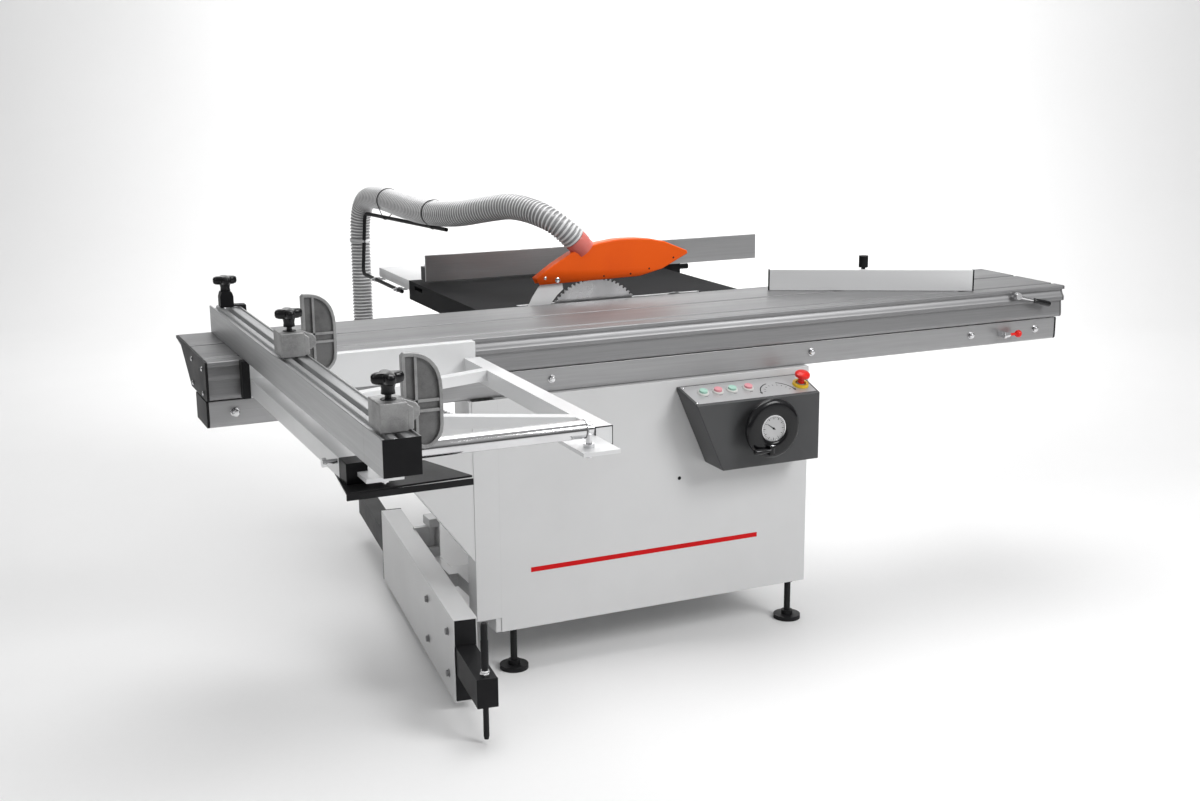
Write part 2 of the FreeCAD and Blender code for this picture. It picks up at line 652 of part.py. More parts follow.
def fence_outline():
    """Fence section with a T-slot along its top, from the fence's left foot."""
    mid = "fence_width / 2"
    return [("0", "0"), ("fence_width", "0"), ("fence_width", "fence_height"),
            (f"{mid} + 5", "fence_height"), (f"{mid} + 5", "fence_height - 5"),
            (f"{mid} + 10", "fence_height - 5"), (f"{mid} + 10", "fence_height - 13"),
            (f"{mid} - 10", "fence_height - 13"), (f"{mid} - 10", "fence_height - 5"),
            (f"{mid} - 5", "fence_height - 5"), (f"{mid} - 5", "fence_height"),
            ("0", "fence_height")]


def make_crosscut_fence():
    lift = "table_height + soft_gap"
    room = [("5", "5"), ("fence_width - 5", "5"), ("fence_width - 5", "fence_height - 18"),
            ("5", "fence_height - 18")]
    main = profile("XZ_Plane", fence_outline(), "fence_inner - fence_split",
                   ("fence_left", depth_of("fence_inner"), lift), holes=[room])
    head = profile("XZ_Plane", fence_outline(), "fence_split - fence_outer - 0.3",
                   ("fence_left", depth_of("fence_split - 0.3"), lift))
    tongue = box(("fence_width - 12", "700", "fence_height - 25"),
                 ("fence_left + 6", depth_of("fence_split - 5"), f"{lift} + 6"))
    node(main, "crosscut_fence")
    return node(fuse(head, tongue), "fence_extension")


def clamp_parts(y, reach):
    """Saddle over the fence with a clamping screw; reach is its leg's drop on the right."""
    lift = "table_height + fence_height + 2 * soft_gap"
    block = box(("fence_width - 4", "stop_length", "26"),
                ("fence_left + 2", depth_of(f"{y} - stop_length / 2"), lift))
    boss = rod("20", "22", (FENCE_MIDDLE, depth_of(y), f"{lift} + 26"))
    bore = rod("6.05", "60", (FENCE_MIDDLE, depth_of(y), f"{lift} - 1"))
    return block, boss, bore, lift


def knob(y, lift, name):
    """Four-lobed clamping knob on its screw."""
    base = f"{lift} + 48.3"
    items = [rod("knob_radius - 8", "20", (FENCE_MIDDLE, depth_of(y), base)),
             rod("6", "54", (FENCE_MIDDLE, depth_of(y), f"{lift} + 2")),
             rod("11", "10", (FENCE_MIDDLE, depth_of(y), f"{lift} + 48.3"))]
    for dx, dy in ((1, 0), (-1, 0), (0, 1), (0, -1)):
        items.append(rod("10", "20", (f"{FENCE_MIDDLE} + {dx} * (knob_radius - 10)",
                                      depth_of(f"{y} + {dy} * (knob_radius - 10)"), base)))
    return node(fuse(*items), name)


def make_fence_clamp():
    y = "fence_inner - 40"
    block, boss, bore, lift = clamp_parts(y, 30)
    leg = box(("14", "30", "62"), ("fence_left + fence_width + soft_gap",
                                   depth_of(f"{y} - 15"), "table_height + 32"))
    bridge = box(("20", "30", "22"), ("fence_left + fence_width - 5", depth_of(f"{y} - 15"),
                                      f"{lift} + 3"))
    node(cut(fuse(block, boss, leg, bridge), bore), "fence_clamp")
    return knob(y, lift, "fence_clamp_knob")


FLAG_OUTLINE = [(2, 187), (30, 181), (56, 164), (70, 140), (76, 112), (76, 40), (48, 14),
                (22, 20), (2, 40)]
FLAG_PIVOT = (16, 84)


def make_flip_stop(y, number):
    block, boss, bore, lift = clamp_parts(y, 0)
    right = "fence_left + fence_width"
    far = f"{y} + stop_length / 2"
    ear = box(("36", "20", "26"), (f"{right} - 8", depth_of(f"{far} - 20"), lift))
    pivot = rod("5", "36", (f"{right} + {FLAG_PIVOT[0]}", depth_of(f"{far} - 18"),
                            f"table_height + {FLAG_PIVOT[1]}"), "Y")
    node(cut(fuse(block, boss, ear, pivot), bore), f"stop_block_{number}")
    outline = [(f"{x}", f"{z}") for x, z in FLAG_OUTLINE]
    plate = profile("XZ_Plane", outline, "14", (f"{right}", depth_of(f"{far} + 16"),
                                                "table_height"))
    hole = rod("5.05", "40", (f"{right} + {FLAG_PIVOT[0]}", depth_of(f"{far} - 10"),
                              f"table_height + {FLAG_PIVOT[1]}"), "Y")
    node(cut(plate, hole), f"stop_flag_{number}")
    return knob(y, lift, f"stop_knob_{number}")


# --- outrigger -----------------------------------------------------------------------------------

def brace(start, end):
    """A square tube between two plan points under the frame's top."""
    run = Vector(end[0] - start[0], end[1] - start[1], 0)
    item = doc.addObject("Part::Box", "Brace")
    item.Placement.Rotation = Rotation(Vector(1, 0, 0), run)
    bind(item, Length=f"{run.Length:.3f}", Width="28", Height="25")
    return place(item, (f"{start[0]}", depth_of(start[1]), drop("tube_drop + 25")))


def make_outrigger():
    reach = "-frame_outer - 12 - inner_beam"
    beam = slab("frame_left", "-12.3 - inner_beam", "87",
                ("frame_right - frame_left - 11", "inner_beam", "85"))
    left = slab("frame_left", "frame_outer", "tube_drop + tube_side",
                ("tube_side", reach, "tube_side"))
    right = slab("frame_right - tube_side", "frame_outer", "tube_drop + tube_side",
                 ("tube_side", reach, "tube_side"))
    near = brace((-1125, -350), (-630, -195))
    far = brace((-1125, -462), (-630, -718))
    tab_right = slab("roller_right - 20", "roller_y - 40", "66", ("79", "135", "8"))
    tab_left = slab("frame_left + 20", "roller_y - 30", "66", ("72", "125", "8"))
    frame = fuse(beam, left, right, near, far, tab_right, tab_left)
    bores = [pin("6.05", "20", x, "roller_y", "70", "Z")
             for x in ("roller_right + 9", "roller_left - 9")]
    node(cut(frame, *bores), "outrigger_frame")
    end_plate = slab("frame_left - 18", "-12.3 - inner_beam", "88", ("18", "inner_beam", "88"))
    outline = [("-1175", "-905"), ("-930", "-895"), ("-977", "-754"), ("-1093", "-700"),
               ("-1150", "-700")]
    shelf = profile("XY_Plane", outline, "4", ("0", FRONT, drop("tube_drop + tube_side + 4")))
    lip = slab("-1174", "-905", "tube_drop + tube_side + 16", ("243", "4", "12"))
    return node(together(end_plate, fuse(shelf, lip)), "outrigger_plates")


def make_bearings():
    """Eye bolts that hold the roller's axle."""
    items = []
    for x in ("roller_right + 9", "roller_left - 9"):
        axis = "roller_radius + 2"
        ring = pin("13", "10", f"{x} - 5", "roller_y", axis, "X")
        hole = pin("7.05", "14", f"{x} - 7", "roller_y", axis, "X")
        stem = pin("6", "47", x, "roller_y", "79", "Z")
        nut = pin("11", "8", x, "roller_y", "58", "Z")
        low = pin("11", "8", x, "roller_y", "74", "Z")
        items.append(cut(fuse(ring, stem, nut, low), hole))
    return node(together(*items), "roller_bearings")


def make_roller():
    axis = "roller_radius + 2"
    drum = pin("roller_radius", "roller_right - roller_left", "roller_left", "roller_y", axis, "X")
    axle = pin("7", "roller_right - roller_left + 36", "roller_left - 18", "roller_y", axis, "X")
    return node(fuse(drum, axle), "support_roller")


# --- mitre fence ---------------------------------------------------------------------------------

MITRE_X = 690
MITRE_TURN = -28.3


def make_mitre():
    """Short fence that swivels on a post clamped in the table's T-slot."""
    y = "table_width - 168"
    lift = "table_height + soft_gap"
    post = rod("13.5", "34", (f"{MITRE_X}", depth_of(y), f"{lift} + 64"))
    screw = rod("6", "80", (f"{MITRE_X}", depth_of(y), lift))
    foot = rod("15", "6", (f"{MITRE_X}", depth_of(y), lift))
    key = slab(f"{MITRE_X} - 20", f"{y} - 4.7", "12", ("40", "9.4", "12.5"))
    nut = slab(f"{MITRE_X} - 18", f"{y} - 10", "13", ("36", "20", "6"))
    node(fuse(post, screw, foot, key, nut), "mitre_post")
    turn = Rotation(Vector(0, 0, 1), MITRE_TURN)

    def turned(size, offset, height):
        item = doc.addObject("Part::Box", "Mitre")
        item.Placement.Rotation = turn
        bind(item, Length=size[0], Width=size[1], Height=size[2])
        shift = turn.multVec(Vector(*offset, 0))
        return place(item, (f"{MITRE_X} + {shift.x:.3f}", depth_of(f"{y} + {shift.y:.3f}"),
                            f"{lift} + {height}"))

    bar = turned(("592", "18", "60"), (-277, -34), "0.3")
    bracket = turned(("70", "50", "6"), (-35, -25), "8")
    hole = rod("6.05", "30", (f"{MITRE_X}", depth_of(y), f"{lift} - 5"))
    return node(cut(fuse(bar, bracket), hole), "mitre_fence")


def make_small_controls():
    """Clamping lever in the side slot, and the latch that holds the table."""
    hub = pin("11", "18", "1072", "-30.3", "17", "Y")
    stem = pin("5", "12", "1072", "-12.5", "17", "Y")
    arm = doc.addObject("Part::Cylinder", "Arm")
    arm.Placement.Rotation = Rotation(Vector(0, 0, 1), Vector(124, 0, -32))
    bind(arm, Radius="4.5", Height="80")
    place(arm, ("1072", depth_of("-22"), drop("17")))
    grip = doc.addObject("Part::Cylinder", "Grip")
    grip.Placement.Rotation = Rotation(Vector(0, 0, 1), Vector(124, 0, -32))
    bind(grip, Radius="8", Height="58")
    place(grip, ("1140", depth_of("-22"), drop("34.5")))
    node(fuse(hub, stem, arm, grip), "clamp_lever")
    plunger = pin("4", "46", "1034.5", "-22", "129", "X")
    ball = doc.addObject("Part::Sphere", "Ball")
    bind(ball, Radius="11")
    place(ball, ("1084", depth_of("-22"), drop("129")))
    return node(fuse(plunger, ball), "latch_knob")


# --- swing arm -----------------------------------------------------------------------------------

ARM_NEAR = (-703, -178)


def arm_box(size, across, along, top):
    """A block in the arm's own direction: across and along from the housing's near end."""
    turn = Rotation(Vector(0, 0, 1), -SIZES["arm_turn"])
    shift = turn.multVec(Vector(across, along, 0))
    item = doc.addObject("Part::Box", "ArmPiece")
    item.Placement.Rotation = turn
    bind(item, Length=size[0], Width=size[1], Height=size[2])
    return place(item, (f"{ARM_NEAR[0] + shift.x:.3f}",
                        depth_of(f"{ARM_NEAR[1] + shift.y:.3f}"), drop(f"{top} + {size[2]}")))


def arm_pin(radius, length, across, along, level):
    turn = Rotation(Vector(0, 0, 1), -SIZES["arm_turn"])
    shift = turn.multVec(Vector(across, along, 0))
    item = doc.addObject("Part::Cylinder", "ArmPin")
    item.Placement.Rotation = turn.multiply(TURNS["X"])
    bind(item, Radius=radius, Height=length)
    return place(item, (f"{ARM_NEAR[0] + shift.x:.3f}",
                        depth_of(f"{ARM_NEAR[1] + shift.y:.3f}"), drop(level)))


TUBE_TOP = "arm_top + 70"


def make_arm():
    """Telescopic support arm: a deep sheet housing with rollers, and the tube inside it."""
    outer = arm_box(("arm_width", "arm_length", "arm_height"), -30, 0, "arm_top")
    inner = arm_box(("arm_width - 2 * arm_wall", "arm_length + 20", "arm_height - 2 * arm_wall"),
                    -27, -10, "arm_top + arm_wall")
    web = box(("51", "16", "60"), ("arm_pivot_x - 52", depth_of("arm_pivot_y - 8"),
                                   drop("712")))
    barrel = pin("11", "60", "arm_pivot_x", "arm_pivot_y", "712", "Z")
    bore = pin("7.05", "80", "arm_pivot_x", "arm_pivot_y", "720", "Z")
    housing = cut(fuse(cut(outer, inner), web, barrel), bore)
    axles = []
    for along, level in ((60, "arm_top + 50 - soft_gap"), (300, "arm_top + 50 - soft_gap"),
                         (60, "arm_top + 161 + soft_gap"), (300, "arm_top + 161 + soft_gap")):
        wheel = arm_pin("20", "40", -20, along, level)
        axle = arm_pin("5", "72", -36, along, level)
        axles.append(fuse(wheel, axle))
    node(cut(housing, *[arm_pin("5", "80", -40, along, level) for along, level in
                        ((60, "arm_top + 50 - soft_gap"), (300, "arm_top + 50 - soft_gap"),
                         (60, "arm_top + 161 + soft_gap"), (300, "arm_top + 161 + soft_gap"))]),
         "arm_housing")
    node(together(*axles), "arm_rollers")
    bar = arm_box(("arm_tube_width", "arm_tube_length", "arm_tube_height"), -25, -212, TUBE_TOP)
    room = arm_box(("arm_tube_width - 8", "arm_tube_length + 10", "arm_tube_height - 8"),
                   -21, -205, f"{TUBE_TOP} + 4")
    turn = Rotation(Vector(0, 0, 1), -SIZES["arm_turn"])
    tip = turn.multVec(Vector(0, -192, 0))
    x = f"{ARM_NEAR[0] + tip.x:.3f}"
    y = f"{ARM_NEAR[1] + tip.y:.3f}"
    bore = pin("7.05", "120", x, y, "830", "Z")
    nut = pin("12", "10", x, y, f"{TUBE_TOP} - soft_gap", "Z")
    node(cut(bar, room, bore), "arm_tube")
    spindle = pin("7", "290", x, y, "888", "Z")
    return node(fuse(spindle, nut), "arm_spindle")


# --- dust hose -------------------------------------------------------------------------------------

def rounded_path(points, share=0.45, radii=None):
    """Straight runs joined by tangent arcs, each as large as its two runs allow."""
    edges = []
    start = points[0]
    radius_list = []
    for i in range(1, len(points) - 1):
        before = points[i - 1] - points[i]
        after = points[i + 1] - points[i]
        turn = math.pi - before.getAngle(after)
        if radii and radii[i - 1]:
            reach = radii[i - 1] * math.tan(turn / 2)
        else:
            reach = share * min(before.Length, after.Length)
        radius_list.append(round(reach / math.tan(turn / 2)))
        enter = points[i] + Vector(before).normalize() * reach
        leave = points[i] + Vector(after).normalize() * reach
        bisector = (Vector(before).normalize() + Vector(after).normalize()).normalize()
        radius = reach / math.tan(turn / 2)
        middle = points[i] + bisector * (radius / math.cos(turn / 2) - radius)
        edges.append(Part.LineSegment(start, enter).toShape())
        edges.append(Part.Arc(enter, middle, leave).toShape())
        start = leave
    edges.append(Part.LineSegment(start, points[-1]).toShape())
    print("bend radii", radius_list)
    return Part.Wire(edges)


def tube_along(name, points, radius, bore=0, radii=None):
    """Round bar or hose along a path, kept as a plain shape because its route is chosen by hand."""
    front = sheet.get("front_edge")
    top = sheet.get("table_height")
    path = rounded_path([Vector(x, y + front, z + top) for x, y, z in points], radii=radii)
    first = path.Edges[0]
    direction = first.tangentAt(first.FirstParameter)
    start = first.valueAt(first.FirstParameter)
    solid = path.makePipeShell([Part.Wire(Part.makeCircle(radius, start, direction))], True, True)
    if bore:
        solid = solid.cut(path.makePipeShell([Part.Wire(Part.makeCircle(bore, start, direction))],
                                             True, True))
    expected = math.pi * (radius ** 2 - bore ** 2) * path.Length
    print(name, "volume share", round(solid.Volume / expected, 4))
    item = doc.addObject("Part::Feature", "Tube")
    item.Shape = solid
    item.Placement = FreeCAD.Placement()
    return node(item, name)


ROD_ROUTE = [(-472, 985, -34), (-472, 1412, -34), (-459, 1410, 166), (-377, 825, 168)]
HOSE_REAR = [(-463, 1462, 59.7), (-463, 1462, -60), (-464, 1463, -180), (-462, 1455, -300),
             (-425, 1405, -400), (-360, 1345, -465), (-290, 1280, -518), (-200, 1190, -548),
             (-150, 1100, -560), (-150, 945, -560)]
PORT_RADII = [None] * 7 + [204]
HOSE_SPAN = [(-463, 1462, 60), (-463, 1462, 150), (-452, 1415, 222), (-430, 1300, 232),
             (-410, 1130, 222), (-392, 960, 216), (-360, 790, 222), (-310, 655, 243),
             (-262, 540, 262), (-202, 395, 228), (-150, 395, 176)]
END_RADII = [None] * 8 + [100]


def make_dust_system():
    tube_along("hose_rod", ROD_ROUTE, sheet.get("rod_radius"), radii=[22, 22])
    radius = sheet.get("hose_radius")
    tube_along("hose_rear", HOSE_REAR, radius, radius - 2, PORT_RADII)
    tube_along("hose_front", HOSE_SPAN, radius, radius - 2, END_RADII)


make_sliding_table()
make_table_caps()
make_fixed_beam()
make_beam_caps()
make_fittings()
make_roller_cage()
make_base_frame()
make_feet()
make_cabinet()
make_gusset()
make_saw_table()
make_throat_plate()
make_extension_table()
make_fence_rail()
make_rip_head()
make_rip_fence()
make_trunnion()
make_arbor_housing()
make_motor()
make_blade()
make_scoring_blade()
make_riving_knife()
make_guard()
make_collar()
make_control_box()
make_wheel()
make_buttons()
make_crosscut_fence()
make_fence_clamp()
make_flip_stop("-345", 1)
make_flip_stop("-1053", 2)
make_outrigger()
make_bearings()
make_roller()
make_mitre()
make_small_controls()
make_arm()
make_dust_system()

doc.recompute()
for item in doc.Objects:
    bad = [word for word in item.State if word in ("Invalid", "Error")]
    if bad:
        raise RuntimeError(f"{item.Name} {item.Label} {bad}")
for item in nodes:
    if item.Shape.isNull() or not item.Shape.isValid():
        raise RuntimeError(f"{item.Label} has no valid shape")

os.makedirs("parts", exist_ok=True)
for item in nodes:
    item.Shape.exportStep(f"parts/{item.Label}.step")
print(len(nodes), "sub-parts")
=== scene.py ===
import math

import bmesh
import bpy
from mathutils import Matrix, Vector


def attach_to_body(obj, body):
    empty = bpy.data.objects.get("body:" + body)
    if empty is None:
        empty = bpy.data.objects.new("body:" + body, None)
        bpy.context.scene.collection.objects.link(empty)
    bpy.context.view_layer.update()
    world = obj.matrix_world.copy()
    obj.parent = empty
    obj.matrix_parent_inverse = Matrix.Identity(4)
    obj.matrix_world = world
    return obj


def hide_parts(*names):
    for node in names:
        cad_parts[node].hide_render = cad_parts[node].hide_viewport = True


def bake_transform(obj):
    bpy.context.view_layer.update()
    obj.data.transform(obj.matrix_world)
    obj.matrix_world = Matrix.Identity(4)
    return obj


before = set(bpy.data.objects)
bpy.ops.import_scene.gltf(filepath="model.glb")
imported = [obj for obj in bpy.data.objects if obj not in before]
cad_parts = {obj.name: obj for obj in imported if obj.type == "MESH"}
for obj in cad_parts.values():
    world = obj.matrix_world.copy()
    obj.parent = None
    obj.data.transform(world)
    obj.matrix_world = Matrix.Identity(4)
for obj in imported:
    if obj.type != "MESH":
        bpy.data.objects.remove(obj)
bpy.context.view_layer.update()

MM = 0.001
FRONT_EDGE = -0.188
TABLE_HEIGHT = 0.9


def spot(x, y, z):
    """A place in mm from the sliding table's near edge and its surface, in the row frame."""
    return Vector((x * MM, y * MM + FRONT_EDGE, z * MM + TABLE_HEIGHT))


# --- shared surface groups -----------------------------------------------------------------------

def new_group(name, inputs, outputs):
    group = bpy.data.node_groups.new(name, "ShaderNodeTree")
    for label, kind, value in inputs:
        socket = group.interface.new_socket(name=label, in_out="INPUT", socket_type=kind)
        socket.default_value = value
    for label, kind in outputs:
        group.interface.new_socket(name=label, in_out="OUTPUT", socket_type=kind)
    start = group.nodes.new("NodeGroupInput")
    end = group.nodes.new("NodeGroupOutput")
    return group, start, end


def noise_at(tree, vector, scale, detail=4.0, rough=0.55):
    node = tree.nodes.new("ShaderNodeTexNoise")
    node.inputs["Detail"].default_value = detail
    node.inputs["Roughness"].default_value = rough
    if isinstance(scale, float):
        node.inputs["Scale"].default_value = scale
    else:
        tree.links.new(scale, node.inputs["Scale"])
    tree.links.new(vector, node.inputs["Vector"])
    return node


def ramp(tree, value, low, high, out_low=0.0, out_high=1.0):
    node = tree.nodes.new("ShaderNodeMapRange")
    node.inputs["From Min"].default_value = low
    node.inputs["From Max"].default_value = high
    for label, out in (("To Min", out_low), ("To Max", out_high)):
        if isinstance(out, float):
            node.inputs[label].default_value = out
        else:
            tree.links.new(out, node.inputs[label])
    tree.links.new(value, node.inputs["Value"])
    return node.outputs["Result"]


def blend_colours(tree, factor, a, b):
    node = tree.nodes.new("ShaderNodeMix")
    node.data_type = "RGBA"
    tree.links.new(factor, node.inputs[0])
    tree.links.new(a, node.inputs[6])
    tree.links.new(b, node.inputs[7])
    return node.outputs[2]


def stretched(tree, stretch):
    """Object coordinates squeezed along the grain, so that noise becomes streaks."""
    coordinates = tree.nodes.new("ShaderNodeTexCoord")
    mapping = tree.nodes.new("ShaderNodeMapping")
    mapping.inputs["Scale"].default_value = stretch
    tree.links.new(coordinates.outputs["Object"], mapping.inputs["Vector"])
    return mapping.outputs["Vector"]


def build_surface_group(name, stretch):
    """Two tones in soft patches, fine grain, and a roughness and a height that follow them."""
    group, start, end = new_group(
        name,
        [("Tone", "NodeSocketColor", (0.5, 0.5, 0.5, 1)),
         ("Worn Tone", "NodeSocketColor", (0.4, 0.4, 0.4, 1)),
         ("Patch Scale", "NodeSocketFloat", 4.0), ("Grain Scale", "NodeSocketFloat", 400.0),
         ("Rough Low", "NodeSocketFloat", 0.3), ("Rough High", "NodeSocketFloat", 0.5)],
        [("Colour", "NodeSocketColor"), ("Roughness", "NodeSocketFloat"),
         ("Height", "NodeSocketFloat")])
    vector = stretched(group, stretch)
    patches = noise_at(group, vector, start.outputs["Patch Scale"], 5.0)
    grain = noise_at(group, vector, start.outputs["Grain Scale"], 3.0, 0.7)
    mask = ramp(group, patches.outputs["Fac"], 0.42, 0.68)
    fine = ramp(group, grain.outputs["Fac"], 0.3, 0.7)
    both = group.nodes.new("ShaderNodeMath")
    both.operation = "MULTIPLY_ADD"
    both.inputs[1].default_value = 0.35
    group.links.new(fine, both.inputs[0])
    half = ramp(group, mask, 0.0, 1.0, 0.0, 0.65)
    group.links.new(half, both.inputs[2])
    colour = blend_colours(group, both.outputs[0], start.outputs["Tone"],
                           start.outputs["Worn Tone"])
    rough = ramp(group, both.outputs[0], 0.0, 1.0, start.outputs["Rough Low"],
                 start.outputs["Rough High"])
    group.links.new(colour, end.inputs["Colour"])
    group.links.new(rough, end.inputs["Roughness"])
    group.links.new(grain.outputs["Fac"], end.inputs["Height"])
    return group


EVEN = build_surface_group("even surface", (1, 1, 1))
ALONG_X = build_surface_group("streaks along the table", (0.02, 1, 1))
ALONG_Y = build_surface_group("streaks across the table", (1, 0.02, 1))


def finish(name, tone, worn, rough, group=EVEN, patch=4.0, grain=400.0, metallic=0.0, bump=0.0,
           coat=0.0, coat_rough=0.1, specular=0.5, alpha=None):
    """A material from one surface group with its own tones, grain and gloss."""
    material = bpy.data.materials.new(name)
    material.use_nodes = True
    tree = material.node_tree
    shader = tree.nodes["Principled BSDF"]
    surface = tree.nodes.new("ShaderNodeGroup")
    surface.node_tree = group
    surface.inputs["Tone"].default_value = (*tone, 1)
    surface.inputs["Worn Tone"].default_value = (*worn, 1)
    surface.inputs["Patch Scale"].default_value = patch
    surface.inputs["Grain Scale"].default_value = grain
    surface.inputs["Rough Low"].default_value = rough[0]
    surface.inputs["Rough High"].default_value = rough[1]
    tree.links.new(surface.outputs["Colour"], shader.inputs["Base Color"])
    tree.links.new(surface.outputs["Roughness"], shader.inputs["Roughness"])
    if bump:
        relief = tree.nodes.new("ShaderNodeBump")
        relief.inputs["Strength"].default_value = bump
        relief.inputs["Distance"].default_value = 0.0004
        tree.links.new(surface.outputs["Height"], relief.inputs["Height"])
        tree.links.new(relief.outputs["Normal"], shader.inputs["Normal"])
    shader.inputs["Metallic"].default_value = metallic
    shader.inputs["Coat Weight"].default_value = coat
    shader.inputs["Coat Roughness"].default_value = coat_rough
    shader.inputs["Specular IOR Level"].default_value = specular
    if alpha is not None:
        shader.inputs["Alpha"].default_value = alpha
    return material


table_alloy = finish("satin table extrusion", (0.31, 0.31, 0.315), (0.2, 0.2, 0.204), (0.4, 0.56),
                     ALONG_X, 5.0, 260.0, 0.8, 0.12)
beam_alloy = finish("bright beam extrusion", (0.42, 0.42, 0.425), (0.3, 0.3, 0.305), (0.34, 0.5),
                    ALONG_X, 5.0, 240.0, 0.8, 0.1)
fence_alloy = finish("anodised fence extrusion", (0.5, 0.505, 0.51), (0.36, 0.365, 0.37),
                     (0.34, 0.5), ALONG_Y, 5.0, 240.0, 0.8, 0.1)
# Painted shade: a darker copy of the cast aluminium below, used on the flag plate's recessed web so
# that the recess looks shaded.
web_painted_shade = finish("cast web", (0.2, 0.2, 0.2), (0.12, 0.12, 0.12), (0.5, 0.68),
                    EVEN, 22.0, 420.0, 0.6, 0.6)
dull_zinc = finish("dull zinc", (0.3, 0.3, 0.305), (0.18, 0.18, 0.182), (0.25, 0.4),
                   EVEN, 30.0, 500.0, 0.9, 0.1)
grey_alloy = finish("cut alloy end", (0.16, 0.16, 0.162), (0.1, 0.1, 0.102), (0.45, 0.6),
                    EVEN, 9.0, 400.0, 0.6, 0.1)
rip_alloy = finish("milled fence plate", (0.42, 0.42, 0.425), (0.3, 0.3, 0.305), (0.3, 0.5),
                   ALONG_X, 9.0, 300.0, 0.85, 0.15)
cast_alloy = finish("cast aluminium", (0.42, 0.42, 0.42), (0.24, 0.24, 0.24), (0.4, 0.6),
                    EVEN, 22.0, 420.0, 0.75, 0.6)
white_paint = finish("white enamel", (0.62, 0.622, 0.625), (0.57, 0.572, 0.575), (0.32, 0.42),
                     EVEN, 2.5, 700.0, 0.0, 0.12, 0.15)
frame_paint = finish("white frame enamel", (0.74, 0.745, 0.75), (0.68, 0.685, 0.69), (0.3, 0.42),
                     EVEN, 5.0, 700.0, 0.0, 0.12, 0.2)
grey_paint = finish("dark grey enamel", (0.062, 0.063, 0.065), (0.045, 0.046, 0.048), (0.36, 0.48),
                    EVEN, 4.0, 800.0, 0.0, 0.25, 0.05, 0.1, 0.35)
black_paint = finish("black enamel", (0.01, 0.01, 0.011), (0.02, 0.02, 0.021), (0.4, 0.55),
                     EVEN, 8.0, 700.0, 0.0, 0.2, 0.0, 0.1, 0.15)
cast_iron = finish("dark cast table", (0.009, 0.009, 0.01), (0.026, 0.026, 0.027), (0.6, 0.75),
                   EVEN, 7.0, 520.0, 0.0, 0.4, 0.0, 0.1, 0.06)
black_plastic = finish("moulded black plastic", (0.006, 0.006, 0.007), (0.013, 0.013, 0.014),
                       (0.35, 0.5), EVEN, 12.0, 900.0, 0.0, 0.25, 0.0, 0.1, 0.15)
gloss_black = finish("polished black plastic", (0.005, 0.005, 0.006), (0.01, 0.01, 0.011),
                     (0.16, 0.28), EVEN, 12.0, 900.0, 0.0, 0.05, 0.1, 0.1, 0.3)
chrome = finish("bright chrome", (0.72, 0.72, 0.73), (0.62, 0.62, 0.63), (0.08, 0.18),
                EVEN, 14.0, 300.0, 1.0)
steel = finish("ground steel", (0.5, 0.5, 0.505), (0.38, 0.38, 0.385), (0.26, 0.42),
               EVEN, 10.0, 500.0, 0.95, 0.15)
knife_steel = finish("bright knife steel", (0.82, 0.82, 0.825), (0.74, 0.74, 0.745), (0.4, 0.55),
                     EVEN, 10.0, 500.0, 0.15, 0.1)
orange = finish("orange hood plastic", (0.95, 0.12, 0.002), (0.86, 0.095, 0.001), (0.34, 0.46),
                EVEN, 6.0, 800.0, 0.0, 0.15, 0.03, 0.1, 0.25)
red = finish("red cap plastic", (0.78, 0.012, 0.006), (0.66, 0.008, 0.004), (0.22, 0.34),
             EVEN, 10.0, 700.0, 0.0, 0.05, 0.1, 0.1, 0.35)
red_clear = finish("clear red spigot", (0.9, 0.26, 0.22), (0.82, 0.17, 0.14), (0.15, 0.3),
                   EVEN, 10.0, 500.0, 0.0, 0.05, 0.2, alpha=0.72)
white_plastic = finish("white bezel plastic", (0.72, 0.72, 0.7), (0.64, 0.64, 0.62), (0.25, 0.4),
                       EVEN, 10.0, 700.0)
mint = finish("mint button plastic", (0.42, 0.68, 0.57), (0.36, 0.6, 0.5), (0.22, 0.34),
              EVEN, 14.0, 700.0)
pink = finish("pink button plastic", (0.78, 0.34, 0.38), (0.7, 0.28, 0.32), (0.22, 0.34),
              EVEN, 14.0, 700.0)
yellow = finish("yellow ring plastic", (0.78, 0.52, 0.02), (0.7, 0.45, 0.02), (0.25, 0.38),
                EVEN, 10.0, 700.0)
label_film = finish("silver label film", (0.5, 0.5, 0.505), (0.45, 0.45, 0.455), (0.3, 0.4),
                    EVEN, 8.0, 900.0, 0.5)
stripe_red = finish("red stripe enamel", (0.6, 0.004, 0.006), (0.5, 0.003, 0.005), (0.4, 0.5),
                    EVEN, 6.0, 700.0, 0.0, 0.05, 0.0, 0.1, 0.15)
hose_skin = finish("smoky hose wall", (0.33, 0.33, 0.333), (0.24, 0.24, 0.243), (0.22, 0.4),
                   EVEN, 10.0, 300.0, 0.1, 0.1, 0.2)
hose_wire = finish("hose helix", (0.8, 0.8, 0.805), (0.66, 0.66, 0.665), (0.2, 0.36),
                   EVEN, 14.0, 300.0, 0.0, 0.1, 0.2)
tie_plastic = finish("black tie plastic", (0.01, 0.01, 0.01), (0.02, 0.02, 0.02), (0.4, 0.55),
                     EVEN, 20.0, 700.0)


# --- making pieces -------------------------------------------------------------------------------

def add_object(name, mesh):
    piece = bpy.data.objects.new(name, mesh)
    bpy.context.scene.collection.objects.link(piece)
    return piece


def shade(piece, angle=35):
    for face in piece.data.polygons:
        face.use_smooth = True
    mesh = bmesh.new()
    mesh.from_mesh(piece.data)
    for edge in mesh.edges:
        if len(edge.link_faces) == 2 and edge.calc_face_angle(0) > math.radians(angle):
            edge.smooth = False
    mesh.to_mesh(piece.data)
    mesh.free()


